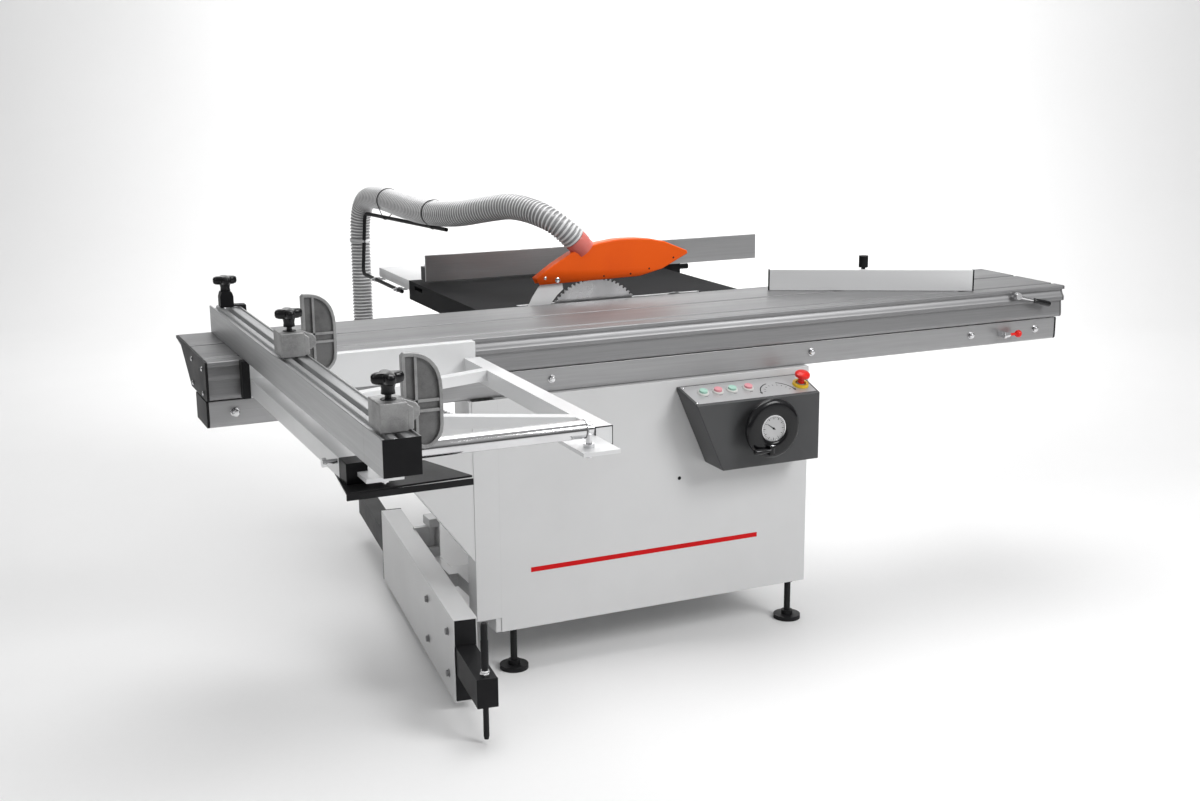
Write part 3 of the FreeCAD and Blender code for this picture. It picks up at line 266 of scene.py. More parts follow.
def soften(piece, width, segments=2, angle=35):
    bevel = piece.modifiers.new("rounded edges", "BEVEL")
    bevel.width = width * MM
    bevel.segments = segments
    bevel.limit_method = "ANGLE"
    bevel.angle_limit = math.radians(angle)
    bevel.harden_normals = False
    weighted = piece.modifiers.new("even shading", "WEIGHTED_NORMAL")
    weighted.keep_sharp = True


def attach(piece, material, body, stands_for=(), width=0, segments=2):
    """Give a finished piece its material, its edges and the body it moves with."""
    piece.data.materials.clear()
    piece.data.materials.append(material)
    shade(piece)
    if width:
        soften(piece, width, segments)
    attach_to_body(piece, body)
    if stands_for:
        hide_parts(*stands_for)
    return piece


AXES = {"X": (Vector((0, 1, 0)), Vector((0, 0, 1)), Vector((1, 0, 0))),
        "Y": (Vector((1, 0, 0)), Vector((0, 0, 1)), Vector((0, 1, 0))),
        "Z": (Vector((1, 0, 0)), Vector((0, 1, 0)), Vector((0, 0, 1)))}


class Shape:
    """Collects several solids in one mesh, all in mm, then becomes a piece."""

    def __init__(self):
        self.mesh = bmesh.new()
        self.turn = Matrix.Identity(4)

    def point(self, vector):
        return self.mesh.verts.new(spot(*(self.turn @ vector)))

    def prism(self, outline, start, depth, axis="Y"):
        """An outline in the plane square to the axis, pushed along it."""
        u, v, w = AXES[axis]
        near = [self.point(u * a + v * b + w * start) for a, b in outline]
        far = [self.point(u * a + v * b + w * (start + depth)) for a, b in outline]
        count = len(outline)
        self.mesh.faces.new(near)
        self.mesh.faces.new(list(reversed(far)))
        for i in range(count):
            j = (i + 1) % count
            self.mesh.faces.new((near[j], near[i], far[i], far[j]))
        return self

    def block(self, x, y, z, size):
        return self.prism([(x, z), (x + size[0], z), (x + size[0], z + size[2]),
                           (x, z + size[2])], y, size[1])

    def lathe(self, profile, centre, axis="Z", steps=48):
        """A radius and height list turned about an axis; closed at both ends on the axis."""
        u, v, w = AXES[axis]
        middle = Vector(centre)
        rings = []
        for radius, height in profile:
            if radius == 0:
                rings.append([self.point(middle + w * height)])
                continue
            ring = []
            for i in range(steps):
                angle = 2 * math.pi * i / steps
                ring.append(self.point(middle + w * height + u * (radius * math.cos(angle))
                                       + v * (radius * math.sin(angle))))
            rings.append(ring)
        for a, b in zip(rings, rings[1:]):
            for i in range(steps):
                j = (i + 1) % steps
                corners = [a[i % len(a)], a[j % len(a)], b[j % len(b)], b[i % len(b)]]
                face = []
                for corner in corners:
                    if corner not in face:
                        face.append(corner)
                if len(face) > 2:
                    self.mesh.faces.new(face)
        return self

    def sweep(self, points, radii, steps=16):
        """A round bar through points in mm with a radius at each, and flat ends."""
        rings = []
        for (centre, side, up), radius in zip(frames_along([Vector(p) for p in points]), radii):
            ring = []
            for i in range(steps):
                angle = 2 * math.pi * i / steps
                ring.append(self.point(centre + side * (radius * math.cos(angle))
                                       + up * (radius * math.sin(angle))))
            rings.append(ring)
        for a, b in zip(rings, rings[1:]):
            for i in range(steps):
                j = (i + 1) % steps
                self.mesh.faces.new((a[i], a[j], b[j], b[i]))
        self.mesh.faces.new(rings[0])
        self.mesh.faces.new(list(reversed(rings[-1])))
        return self

    def done(self, name):
        bmesh.ops.recalc_face_normals(self.mesh, faces=self.mesh.faces)
        data = bpy.data.meshes.new(name)
        self.mesh.to_mesh(data)
        self.mesh.free()
        return add_object(name, data)


def frames_along(points):
    """Each point with two directions square to the path, carried along without twisting."""
    found = []
    side = None
    for i, centre in enumerate(points):
        ahead = points[min(i + 1, len(points) - 1)] - points[max(i - 1, 0)]
        ahead.normalize()
        if side is None:
            side = ahead.orthogonal().normalized()
        side = (side - ahead * side.dot(ahead)).normalized()
        found.append((centre, side, ahead.cross(side)))
    return found


def smooth_route(route, spacing):
    """Evenly spaced points on the smooth curve that cuts inside the route's corners."""
    corners = [Vector(corner) for corner in route]
    curve = []
    for i in range(1, len(corners) - 1):
        start = corners[0] if i == 1 else (corners[i - 1] + corners[i]) / 2
        end = corners[-1] if i == len(corners) - 2 else (corners[i] + corners[i + 1]) / 2
        for k in range(60):
            share = k / 60
            curve.append(start * (1 - share) ** 2 + corners[i] * (2 * share * (1 - share))
                         + end * share ** 2)
    curve.append(corners[-1])
    lengths = [0]
    for a, b in zip(curve, curve[1:]):
        lengths.append(lengths[-1] + (b - a).length)
    count = max(2, round(lengths[-1] / spacing))
    found = []
    k = 0
    for i in range(count + 1):
        want = lengths[-1] * i / count
        while k < len(curve) - 2 and lengths[k + 1] < want:
            k += 1
        share = (want - lengths[k]) / max(lengths[k + 1] - lengths[k], 1e-9)
        found.append(curve[k].lerp(curve[k + 1], min(share, 1)))
    return found


def rounded(outline, passes=2):
    """Cuts an outline's corners so that it reads as a smooth curve."""
    for _ in range(passes):
        fresh = []
        for i, (x, z) in enumerate(outline):
            following = outline[(i + 1) % len(outline)]
            fresh.append((x * 0.75 + following[0] * 0.25, z * 0.75 + following[1] * 0.25))
            fresh.append((x * 0.25 + following[0] * 0.75, z * 0.25 + following[1] * 0.75))
        outline = fresh
    return outline


def circle(x, z, radius, steps=32, start=0.0, turn=2 * math.pi):
    return [(x + radius * math.cos(start + turn * i / steps),
             z + radius * math.sin(start + turn * i / steps)) for i in range(steps)]


# --- kept frame nodes ----------------------------------------------------------------------------

KEPT = {
    "roller_cage": (steel, 0.5), "base_frame": (white_paint, 1.5),
    "levelling_feet": (black_paint, 1.5), "cabinet": (white_paint, 1.5),
    "front_panel": (white_paint, 0.8), "column": (white_paint, 1.5), "saw_table": (cast_iron, 1.0),
    "throat_plate": (steel, 0.3), "extension_table": (frame_paint, 1.0),
    "fence_rail": (steel, 0.5), "rip_head": (black_plastic, 3.0), "rip_fence": (rip_alloy, 0.8),
    "rip_fence_bar": (black_paint, 1.0), "trunnion": (grey_paint, 1.0),
    "arbor_housing": (grey_paint, 1.0), "motor": (grey_paint, 2.0),
    "scoring_blade": (steel, 0.2), "riving_knife": (knife_steel, 0.3),
    "outrigger_frame": (frame_paint, 2.0),
    "outrigger_plates": (black_paint, 1.0), "roller_bearings": (chrome, 0.8),
    "support_roller": (chrome, 0.8), "mitre_fence": (frame_paint, 1.0),
    "arm_housing": (white_paint, 1.5), "arm_rollers": (steel, 0.8), "arm_tube": (black_paint, 2.0),
    "hose_rod": (black_paint, 0),
    "push_button_1": (mint, 1.0), "push_button_2": (pink, 1.0), "push_button_3": (mint, 1.0),
    "push_button_4": (pink, 1.0), "latch_knob": (red, 0.3), "mitre_post": (black_plastic, 0.8),
}
for node_name, (material, width) in KEPT.items():
    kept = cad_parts[node_name]
    kept.data.materials.clear()
    kept.data.materials.append(material)
    weld = kept.modifiers.new("joined corners", "WELD")
    weld.merge_threshold = 0.00001
    if width:
        soften(kept, width)


# --- guard ---------------------------------------------------------------------------------------

BLADE_Y = 395
GUARD_TOP = [(51, 60), (120, 76), (201, 115), (198, 124), (126, 154), (84, 163), (41, 168),
             (0, 169), (-32, 168), (-79, 162), (-122, 152), (-166, 138), (-220, 108),
             (-272, 73), (-263, 55)]


def make_guard():
    """A thin hood, open underneath, with rounded rims."""
    mesh = bmesh.new()
    smooth = []
    for i, (x, z) in enumerate(GUARD_TOP):
        if 3 < i < 13:
            before, after = GUARD_TOP[i - 1], GUARD_TOP[i + 1]
            smooth.append((x * 0.8 + before[0] * 0.2, z * 0.8 + before[1] * 0.2))
            smooth.append((x, z))
            smooth.append((x * 0.8 + after[0] * 0.2, z * 0.8 + after[1] * 0.2))
        else:
            smooth.append((x, z))
    sides = []
    for y in (BLADE_Y - 17.6, BLADE_Y + 17.6):
        sides.append([mesh.verts.new(spot(x, y, z)) for x, z in smooth])
    mesh.faces.new(sides[0])
    mesh.faces.new(list(reversed(sides[1])))
    for i in range(len(smooth) - 2):
        mesh.faces.new((sides[0][i + 1], sides[0][i], sides[1][i], sides[1][i + 1]))
    bmesh.ops.recalc_face_normals(mesh, faces=mesh.faces)
    data = bpy.data.meshes.new("hood")
    mesh.to_mesh(data)
    mesh.free()
    hood = add_object("hood", data)
    attach(hood, orange, "hood", ["guard"])
    soften(hood, 3, 3, 50)
    wall = hood.modifiers.new("wall", "SOLIDIFY")
    wall.thickness = 2.5 * MM
    wall.offset = -1
    for name, material, places in (
            ("hood_screws", chrome, ((-246, 73, 4.5), (-209, 65, 7.5))),
            ("hood_rivets", black_plastic, ((-67, 67, 2.6), (17, 68, 2.6), (76, 79, 2.6),
                                            (154, 106, 2.6)))):
        heads = Shape()
        for x, z, radius in places:
            heads.lathe([(0, -19.4), (radius * 0.5, -19.3), (radius, -17.9), (radius, 17.9),
                         (radius * 0.5, 19.3), (0, 19.4)], (x, BLADE_Y, z), "Y", 20)
        attach(heads.done(name), material, "hood", ())


make_guard()


# --- dust hose -----------------------------------------------------------------------------------

HOSE_SPAN = [(-463, 1462, 60), (-463, 1462, 150), (-452, 1415, 220), (-430, 1300, 225),
             (-410, 1130, 212), (-392, 960, 207), (-360, 790, 216), (-310, 655, 243),
             (-262, 540, 262), (-202, 395, 228), (-150, 395, 176)]
HOSE_REAR = [(-463, 1462, 60), (-463, 1462, -60), (-464, 1463, -180), (-462, 1455, -300),
             (-425, 1405, -400), (-360, 1345, -465), (-290, 1280, -518), (-200, 1190, -548),
             (-150, 1100, -560), (-150, 947, -560)]
RIB_PITCH = 11.0
RINGS_PER_RIB = 6
RIB_SHAPE = (30.0, 30.8, 33.2, 34.2, 33.2, 30.8)
WIRE_RINGS = (2, 3)


def swell(y):
    """The slack length over the table is a little wider than the two hung ends."""
    middle = (y - 430) / 1000
    return 1 + 0.14 * max(0.0, math.sin(math.pi * min(max(middle, 0), 1))) ** 0.5


def hose_piece(name, rings, first, wide=False):
    """A length of ribbed wall, from rings of the whole hose."""
    mesh = bmesh.new()
    loops = []
    steps = 36
    for k, (centre, side, up) in enumerate(rings):
        radius = RIB_SHAPE[(first + k) % RINGS_PER_RIB] * (swell(centre.y) if wide else 1)
        loops.append([mesh.verts.new(spot(*(centre + side * (radius * math.cos(a))
                                            + up * (radius * math.sin(a)))))
                      for a in (2 * math.pi * i / steps for i in range(steps))])
    for k, (a, b) in enumerate(zip(loops, loops[1:])):
        for i in range(steps):
            j = (i + 1) % steps
            face = mesh.faces.new((a[i], a[j], b[j], b[i]))
            face.material_index = 1 if (first + k) % RINGS_PER_RIB in WIRE_RINGS else 0
    bmesh.ops.recalc_face_normals(mesh, faces=mesh.faces)
    data = bpy.data.meshes.new(name)
    mesh.to_mesh(data)
    mesh.free()
    piece = add_object(name, data)
    data.materials.append(hose_skin)
    data.materials.append(hose_wire)
    for face in data.polygons:
        face.use_smooth = True
    wall = piece.modifiers.new("wall", "SOLIDIFY")
    wall.thickness = 1.2 * MM
    wall.offset = -1
    return piece


TILT_EDGE = 500
RISE_EDGE = 408
TIE_STEPS = 48


def make_hose():
    rings = frames_along(smooth_route(HOSE_SPAN, RIB_PITCH / RINGS_PER_RIB))
    tilt_end = next(i for i, ring in enumerate(rings) if ring[0].y < TILT_EDGE)
    rise_end = next(i for i, ring in enumerate(rings) if ring[0].y < RISE_EDGE)
    parts = [("hose_over_the_table", 0, tilt_end, "base", "tilting_frame",
              spot(-392, 1000, 220), spot(-392, TILT_EDGE, 220)),
             ("hose_bend", tilt_end, rise_end, "tilting_frame", "rising_unit",
              spot(-220, TILT_EDGE, 240), spot(-220, RISE_EDGE, 240)),
             ("hose_end", rise_end, len(rings) - 1, "rising_unit", "hood",
              spot(-195, 395, 221), spot(-160, 395, 186))]
    for name, first, last, before, after, start, end in parts:
        piece = hose_piece(name, rings[first:last + 1], first, True)
        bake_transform(piece)
        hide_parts("hose_front")
    for name, hose_at, rod_at, axis, depth, material in (
            ("hose_tie_far", (-424, 1250, 220), (-436.6, 1250, 166.5), "Y", 5, tie_plastic),
            ("hose_tie_near", (-384, 915, 210), (-389, 915, 168), "Y", 5, tie_plastic),
            ("hose_clamp_ring", (-463, 1462, 70), (-466, 1410, 70), "Z", 8, chrome)):
        u, v, w = AXES[axis]
        loops = []
        for grow in (0.3, 2.0):
            loop = []
            for i in range(TIE_STEPS):
                angle = 2 * math.pi * i / TIE_STEPS
                way = u * math.cos(angle) + v * math.sin(angle)
                reach = 34.4 * (swell(hose_at[1]) if axis == "Y" else 1) + grow
                ends = [(Vector(hose_at), reach), (Vector(rod_at), 6.3 + grow)]
                middle, size = max(ends, key=lambda end: end[0].dot(way) + end[1])
                loop.append(middle + way * size)
            loops.append(loop)
        tie = Shape()
        rings_of_tie = [[tie.point(p + w * lift) for p in loops[k]]
                        for k, lift in ((0, 0), (1, 0), (1, depth), (0, depth))]
        for a, b in zip(rings_of_tie, rings_of_tie[1:] + rings_of_tie[:1]):
            for i in range(TIE_STEPS):
                j = (i + 1) % TIE_STEPS
                tie.mesh.faces.new((a[i], a[j], b[j], b[i]))
        attach(tie.done(name), material, "base", ())
    rear = frames_along(smooth_route(HOSE_REAR, RIB_PITCH / RINGS_PER_RIB))
    piece = hose_piece("hose_down_to_the_port", rear, 0)
    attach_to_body(piece, "base")
    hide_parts("hose_rear")


make_hose()


def make_collar():
    lean = math.radians(45)
    shape = Shape()
    shape.turn = (Matrix.Translation((-122, BLADE_Y, 148)) @ Matrix.Rotation(-lean, 4, "Y"))
    shape.lathe([(29, -6), (31.4, -6), (31.6, 10), (33.2, 14), (33.6, 34), (33, 38),
                 (31.4, 38.5), (31.4, 46), (29.5, 46), (29, -6)], (0, 0, 0), "Z", 48)
    attach(shape.done("clear_spigot"), red_clear, "hood", ["guard_collar"])


make_collar()


# --- saw blade -----------------------------------------------------------------------------------

ARBOR = (-90, -95.5)


def make_blade():
    teeth = 72
    outline = []
    for i in range(teeth):
        base = 2 * math.pi * i / teeth
        pitch = 2 * math.pi / teeth
        for share, radius in ((0.0, 157.4), (0.3, 155.8), (0.42, 151.5), (0.62, 150.2),
                              (0.86, 152.0)):
            angle = base + pitch * share
            outline.append((ARBOR[0] + radius * math.cos(angle),
                            ARBOR[1] + radius * math.sin(angle)))
    disc = Shape().prism(outline, BLADE_Y - 1.5, 3.0)
    attach(disc.done("toothed_disc"), steel, "blade", ["saw_blade"])
    hub = Shape()
    hub.lathe([(0, -17.4), (11, -17.4), (18, -16.0), (18, -8), (30, -7.6), (38, -6.5), (40, -4),
               (40, -1.6), (40, 1.6), (40, 9.4), (15, 9.6), (15, 148), (0, 149)],
              (ARBOR[0], BLADE_Y, ARBOR[1]), "Y")
    attach(hub.done("arbor_and_flanges"), steel, "blade", ["saw_blade"])


make_blade()


# --- handwheel and control panel -----------------------------------------------------------------

WHEEL = (176, -163, -283)


def make_wheel():
    rim = Shape()
    rim.lathe([(0, 8), (36, 8), (37, 4), (40, 1.5), (48, 0.2), (66, 0.2), (74, 2.5), (79, 8),
               (80, 13), (79, 19), (74, 24), (64, 26), (30, 26), (26, 30), (26, 49), (10, 49),
               (10, 88), (0, 88)], WHEEL, "Y", 72)
    for low in (9.2, -12.8):
        rim.block(WHEEL[0] - 22, WHEEL[1] - 14, WHEEL[2] - 54 + low, (16, 15, 3.6))
    attach(rim.done("wheel_rim"), gloss_black, "wheel", ["handwheel"], 0.3)
    ring = Shape()
    ring.lathe([(34, 6.8), (34, 5.4), (36.2, 5.0), (36.6, 6.8), (36.6, 8.4), (34, 8.4),
                (34, 6.8)], WHEEL, "Y", 64)
    attach(ring.done("dial_ring"), chrome, "wheel", ())
    face = Shape()
    face.lathe([(0, 7.0), (33.8, 7.0), (33.8, 8.5), (0, 8.5)], WHEEL, "Y", 64)
    attach(face.done("dial_face"), label_film, "wheel", ())
    marks = Shape()
    for i in range(36):
        angle = 2 * math.pi * i / 36
        long = i % 3 == 0
        inner = 25 if long else 28.5
        half = 0.7 if long else 0.4
        across = Vector((-math.sin(angle), math.cos(angle))) * half
        out = Vector((math.cos(angle), math.sin(angle)))
        corners = [out * inner - across, out * 32 - across, out * 32 + across,
                   out * inner + across]
        marks.prism([(WHEEL[0] + c.x, WHEEL[2] + c.y) for c in corners], WHEEL[1] + 6.6, 0.5)
    needle = [(-1.4, -6), (1.4, -6), (0.5, 24), (-0.5, 24)]
    lean = math.radians(55)
    marks.prism([(WHEEL[0] + a * math.cos(lean) - b * math.sin(lean),
                  WHEEL[2] + a * math.sin(lean) + b * math.cos(lean)) for a, b in needle],
                WHEEL[1] + 6.2, 0.8)
    marks.lathe([(0, 5.6), (3, 5.8), (3, 7.2), (0, 7.2)], WHEEL, "Y", 24)
    attach(marks.done("dial_marks"), black_plastic, "wheel", ())
    hinge = Shape()
    hinge.lathe([(0, -13), (4, -13), (4, 13), (0, 13)],
                (WHEEL[0] - 14, WHEEL[1] - 9.3, WHEEL[2] - 54), "Z", 24)
    attach(hinge.done("handle_hinge"), chrome, "wheel", ())
    grip = Shape()
    grip.lathe([(0, -54), (3, -54), (6.4, -52), (7.8, -46), (7.6, -34), (6.2, -20), (5.6, -10),
                (6, -6), (6, 0), (0, 0)], (WHEEL[0] - 14, WHEEL[1] - 9.3, WHEEL[2] - 54), "X", 32)
    grip.lathe([(4.1, -8.4), (7, -8.4), (7, 8.4), (4.1, 8.4), (4.1, -8.4)],
               (WHEEL[0] - 14, WHEEL[1] - 9.3, WHEEL[2] - 54), "Z", 32)
    attach(grip.done("folding_grip"), gloss_black, "wheel_grip", ["wheel_handle"],
           0.4)


make_wheel()

SLOPE = math.atan2(32, 100)


def sloped(x, back, lift=0.0):
    """A place on the control box's sloping face, in mm."""
    return Vector((x, -13 - back - lift * math.sin(SLOPE),
                   -178 - 0.32 * back + lift * math.cos(SLOPE)))


def slope_turn(x, back):
    return Matrix.Translation(sloped(x, back)) @ Matrix.Rotation(SLOPE, 4, "X")


def make_panel():
    box = Shape()
    for y, outline in ((-13, [(-39, -178), (345, -178), (345, -395), (50, -395), (-39, -188)]),
                       (-113, [(-29.6, -210), (345, -210), (345, -395), (50, -395)])):
        for x, z in outline:
            box.point(Vector((x, y, z)))
    bmesh.ops.convex_hull(box.mesh, input=box.mesh.verts)
    bmesh.ops.dissolve_limit(box.mesh, angle_limit=math.radians(2), verts=box.mesh.verts,
                             edges=box.mesh.edges)
    attach(box.done("switch_box"), grey_paint, "base", ["control_box"], 2.5, 3)
    bezels = Shape()
    for x in (18, 62, 105, 154):
        bezels.turn = slope_turn(x, 44)
        bezels.lathe([(11.4, 0.3), (15.6, 0.3), (15.6, 2.2), (14, 4.4), (11.4, 4.4), (11.4, 0.3)],
                     (0, 0, 0), "Z", 40)
    attach(bezels.done("button_bezels"), white_plastic, "base", ["button_rings"])
    label = Shape()
    label.turn = slope_turn(0, 0)
    label.prism([(-22, -99), (339, -99), (339, -4), (-31, -4)], 0.05, 0.35, "Z")
    attach(label.done("panel_label"), label_film, "base", (), 0.1)
    arcs = Shape()
    arcs.turn = slope_turn(0, 0)
    for side in (-1, 1):
        middle = (230, -86)
        start = math.radians(90 + side * 16)
        sweep = side * math.radians(62)
        outer = circle(*middle, 54, 14, start, sweep) + circle(*middle, 54, 1, start + sweep)
        inner = circle(*middle, 51, 14, start, sweep) + circle(*middle, 51, 1, start + sweep)
        arcs.prism(outer + list(reversed(inner)), 0.4, 0.2, "Z")
        tip = start + sweep
        head = [(middle[0] + r * math.cos(tip + side * a), middle[1] + r * math.sin(tip + side * a))
                for r, a in ((48, 0), (57, 0), (52.5, 0.17))]
        arcs.prism(head, 0.4, 0.2, "Z")
    for i in range(9):
        angle = math.radians(18 + 18 * i)
        along, across = Vector((math.cos(angle), math.sin(angle))), 0.8
        side = Vector((-along.y, along.x)) * across
        foot, top = along * 38, along * 43
        arcs.prism([(230 + p.x, -86 + p.y) for p in (foot - side, top - side, top + side,
                                                     foot + side)], 0.4, 0.2, "Z")
    for x, y, wide, deep in ((-22, -99, 361, 0.9), (-31, -5, 370, 0.9), (338, -99, 0.9, 94)):
        arcs.prism([(x, y), (x + wide, y), (x + wide, y + deep), (x, y + deep)], 0.4, 0.1, "Z")
    for x in (18, 62, 105, 154):
        arcs.prism([(x - 5, -66), (x + 5, -66), (x + 5, -64.6), (x - 5, -64.6)], 0.4, 0.15, "Z")
    attach(arcs.done("panel_marks"), black_plastic, "base", ())
    screws = Shape()
    for x, back in ((-22, 10), (-22, 88), (330, 12)):
        screws.turn = slope_turn(x, back)
        screws.lathe([(0, 1.8), (2.2, 1.7), (3.6, 1.0), (3.6, 0.3), (0, 0.3)], (0, 0, 0), "Z", 16)
    attach(screws.done("label_screws"), chrome, "base", ())
    ring = Shape()
    ring.turn = slope_turn(310, 56)
    ring.lathe([(15, 0.3), (22.5, 0.3), (22.5, 5), (21, 7.2), (15, 7.2), (15, 0.3)], (0, 0, 0), "Z")
    attach(ring.done("stop_plate"), yellow, "base", ["button_rings"])
    cap = Shape()
    cap.turn = slope_turn(310, 56)
    cap.lathe([(0, 7.6), (9, 7.6), (9, 25), (17, 25.4), (20.6, 28), (21, 31), (20, 35.5),
               (15, 39.4), (7, 40.8), (0, 41)], (0, 0, 0), "Z", 56)
    attach(cap.done("stop_mushroom"), red, "emergency_stop", ["stop_button"])


make_panel()


# --- clamping knobs, stops and fence details -----------------------------------------------------

FENCE_MIDDLE = -1133.5


STOP_ONE = -345
STOP_TWO = -1053


def make_knob(name, y, body, node, raised=0.0):
    """Four soft lobes on a tapered skirt and a screw."""
    shape = Shape()
    rings = []
    for height, share in ((117.2, 0.78), (119.5, 0.94), (124, 1.0), (131, 1.0), (134.8, 0.93),
                          (136.7, 0.78)):
        ring = []
        for i in range(64):
            angle = 2 * math.pi * i / 64
            radius = (23.2 + 6.4 * math.cos(4 * angle)) * share
            ring.append(shape.point(Vector((FENCE_MIDDLE + radius * math.cos(angle),
                                            y + radius * math.sin(angle),
                                            height + raised))))
        rings.append(ring)
    for a, b in zip(rings, rings[1:]):
        for i in range(64):
            j = (i + 1) % 64
            shape.mesh.faces.new((a[i], a[j], b[j], b[i]))
    shape.mesh.faces.new(rings[0])
    shape.mesh.faces.new(list(reversed(rings[-1])))
    shape.lathe([(0, 71), (5.8, 71), (5.8, 99.5), (12.5, 99.6), (11.5, 108), (13.5, 118), (0, 118)],
                (FENCE_MIDDLE, y, raised), "Z", 32)
    piece = shape.done(name)
    attach(piece, gloss_black, body, [node])


make_knob("fence_clamp_grip", 334, "fence_clamp_screw", "fence_clamp_knob", 9.0)
make_knob("stop_grip_one", STOP_ONE, "screw_1", "stop_knob_1", 30.0)
make_knob("stop_grip_two", STOP_TWO, "screw_2", "stop_knob_2", 30.0)

FLAG = [(2.5, 170), (2.5, 188), (22, 188), (42, 183), (58, 172), (70, 154), (76, 128), (76, 84),
        (76, 46), (66, 26), (46, 13), (24, 19), (3, 38), (3, 100)]


def shrunk(outline, amount):
    """An outline drawn in towards its middle by a fixed amount."""
    points = [Vector(p) for p in outline]
    count = len(points)
    found = []
    for i, point in enumerate(points):
        a = (points[i - 1] - point).normalized()
        b = (points[(i + 1) % count] - point).normalized()
        inward = (a + b)
        if inward.length < 1e-4:
            inward = Vector((-a.y, a.x))
        inward.normalize()
        middle = sum(points, Vector((0, 0))) / count
        if inward.dot(middle - point) < 0:
            inward.negate()
        sine = max(abs(a.x * inward.y - a.y * inward.x), 0.5)
        moved = point + inward * (amount / sine)
        found.append((moved.x, moved.y))
    return found


FLAG_DEPTH = 13.4


def make_flag(name, y, body, node):
    """Cast plate with a raised rim and ribs on both sides."""
    right = -1099
    outline = [(right + x, z) for x, z in rounded(FLAG, 1)]
    inner = shrunk(outline, 6.5)
    shape = Shape()
    near = y + 37.3
    count = len(outline)
    far = near + FLAG_DEPTH
    loops = [[shape.point(Vector((x, plane, z))) for x, z in ring]
             for ring, plane in ((outline, near), (inner, near), (inner, far), (outline, far))]
    for a, b in zip(loops, loops[1:] + loops[:1]):
        for i in range(count):
            j = (i + 1) % count
            shape.mesh.faces.new((a[i], a[j], b[j], b[i]))
    # The recessed web takes the darker cast finish, which is painted shade in the recess.
    web = Shape().prism(shrunk(outline, 5.5), near + 5.6, 2.4)
    attach(web.done(name + "_web"), web_painted_shade, body, ())
    for x0, z0, wide, high in ((8, 98, 66, 5.5), (8, 80, 66, 5.5), (25, 22, 5.5, 158)):
        shape.block(right + x0, near + 0.8, z0, (wide, 11.8, high))
    shape.lathe([(5.2, -1), (10, -1), (10, 14.6), (5.2, 14.6), (5.2, -1)],
                (right + 16, near, 84), "Y", 32)
    piece = shape.done(name)
    attach(piece, cast_alloy, body, [node], 1.2, 2)


make_flag("stop_plate_one", STOP_ONE, "flag_1", "stop_flag_1")
make_flag("stop_plate_two", STOP_TWO, "flag_2", "stop_flag_2")


FENCE_PROFILE = [(-1168, 0.3), (-1168, 67.3), (-1167, 68.3), (-1164, 68.3), (-1163, 62),
                 (-1152, 61), (-1151, 66.5), (-1149, 67.6), (-1141, 67.6), (-1139.5, 66.5),
                 (-1139, 57), (-1128, 57), (-1127.5, 66.5), (-1126, 67.6), (-1115, 67.6),
                 (-1114, 65), (-1104, 65), (-1103, 68.3), (-1100, 68.3), (-1099, 67.3),
                 (-1099, 0.3)]


def shrunk_slab(outline):
    """The same section drawn in by a fraction of a millimetre all round."""
    middle_x, middle_z = -1133.5, 34
    return [(middle_x + (x - middle_x) * 0.985, middle_z + (z - middle_z) * 0.985)
            for x, z in outline]


def make_fence_details():
    fence = Shape().prism(FENCE_PROFILE, -1009.7, 1383.7)
    attach(fence.done("fence_extrusion"), fence_alloy, "fence", ["crosscut_fence"],
           0.4, 1)
    seam = Shape().prism(shrunk_slab(FENCE_PROFILE), -1012, 2.2)
    attach(seam.done("fence_seam"), black_plastic, "extension", ())
    head = Shape().prism(FENCE_PROFILE, -1122, 111.7)
    head.block(-1160, -1010.5, 6, (52, 300, 44))
    attach(head.done("fence_head"), fence_alloy, "extension", ["fence_extension"],
           0.4, 1)
    cap = Shape()
    cap.block(-1167.6, -1124.2, 0.8, (68.2, 2.2, 66.8))
    attach(cap.done("fence_end_cap"), black_plastic, "extension", (), 0.8)
    tube_caps = Shape()
    tube_caps.block(-1160.6, -858, -81.4, (41.2, 52, 40.8))
    attach(tube_caps.done("tube_end_left"), black_plastic, "table", (), 1.5)
    right_cap = Shape()
    right_cap.block(-637.4, -808, -81.4, (40.8, 2.4, 40.8))
    attach(right_cap.done("tube_end_right"), black_plastic, "table", (), 1.5)
    lid = Shape()
    lid.block(-635, -808.6, -79, (36, 1, 36))
    attach(lid.done("tube_lid_right"), frame_paint, "table", (), 0.6)


make_fence_details()


# --- trims on the cabinet ------------------------------------------------------------------------

def make_trims():
    stripe = Shape()
    stripe.block(-461, -13.5, -629, (676, 0.45, 13))
    attach(stripe.done("front_stripe"), stripe_red, "base", (), 0.1)
    # A flat black disc on the front panel stands for a hole in it: painted shade of the opening,
    # not a plug.
    hole_shade_disc = Shape()
    hole_shade_disc.lathe([(0, 0), (5, 0), (5, 0.4), (0, 0.4)], (-28, -13.5, -430), "Y", 24)
    attach(hole_shade_disc.done("panel_plug"), black_plastic, "base", ())
    screws = Shape()
    for x, z in ((-1262, -20), (-1262, -78)):
        for y in (20, 150):
            screws.lathe([(0, 0), (4, 0.4), (6, 2), (6, 5), (0, 5)], (x + 1, y, z), "X", 20)
    attach(screws.done("end_plate_screws"), chrome, "table", ())


make_trims()


# --- extrusions, blocks and fittings -------------------------------------------------------------

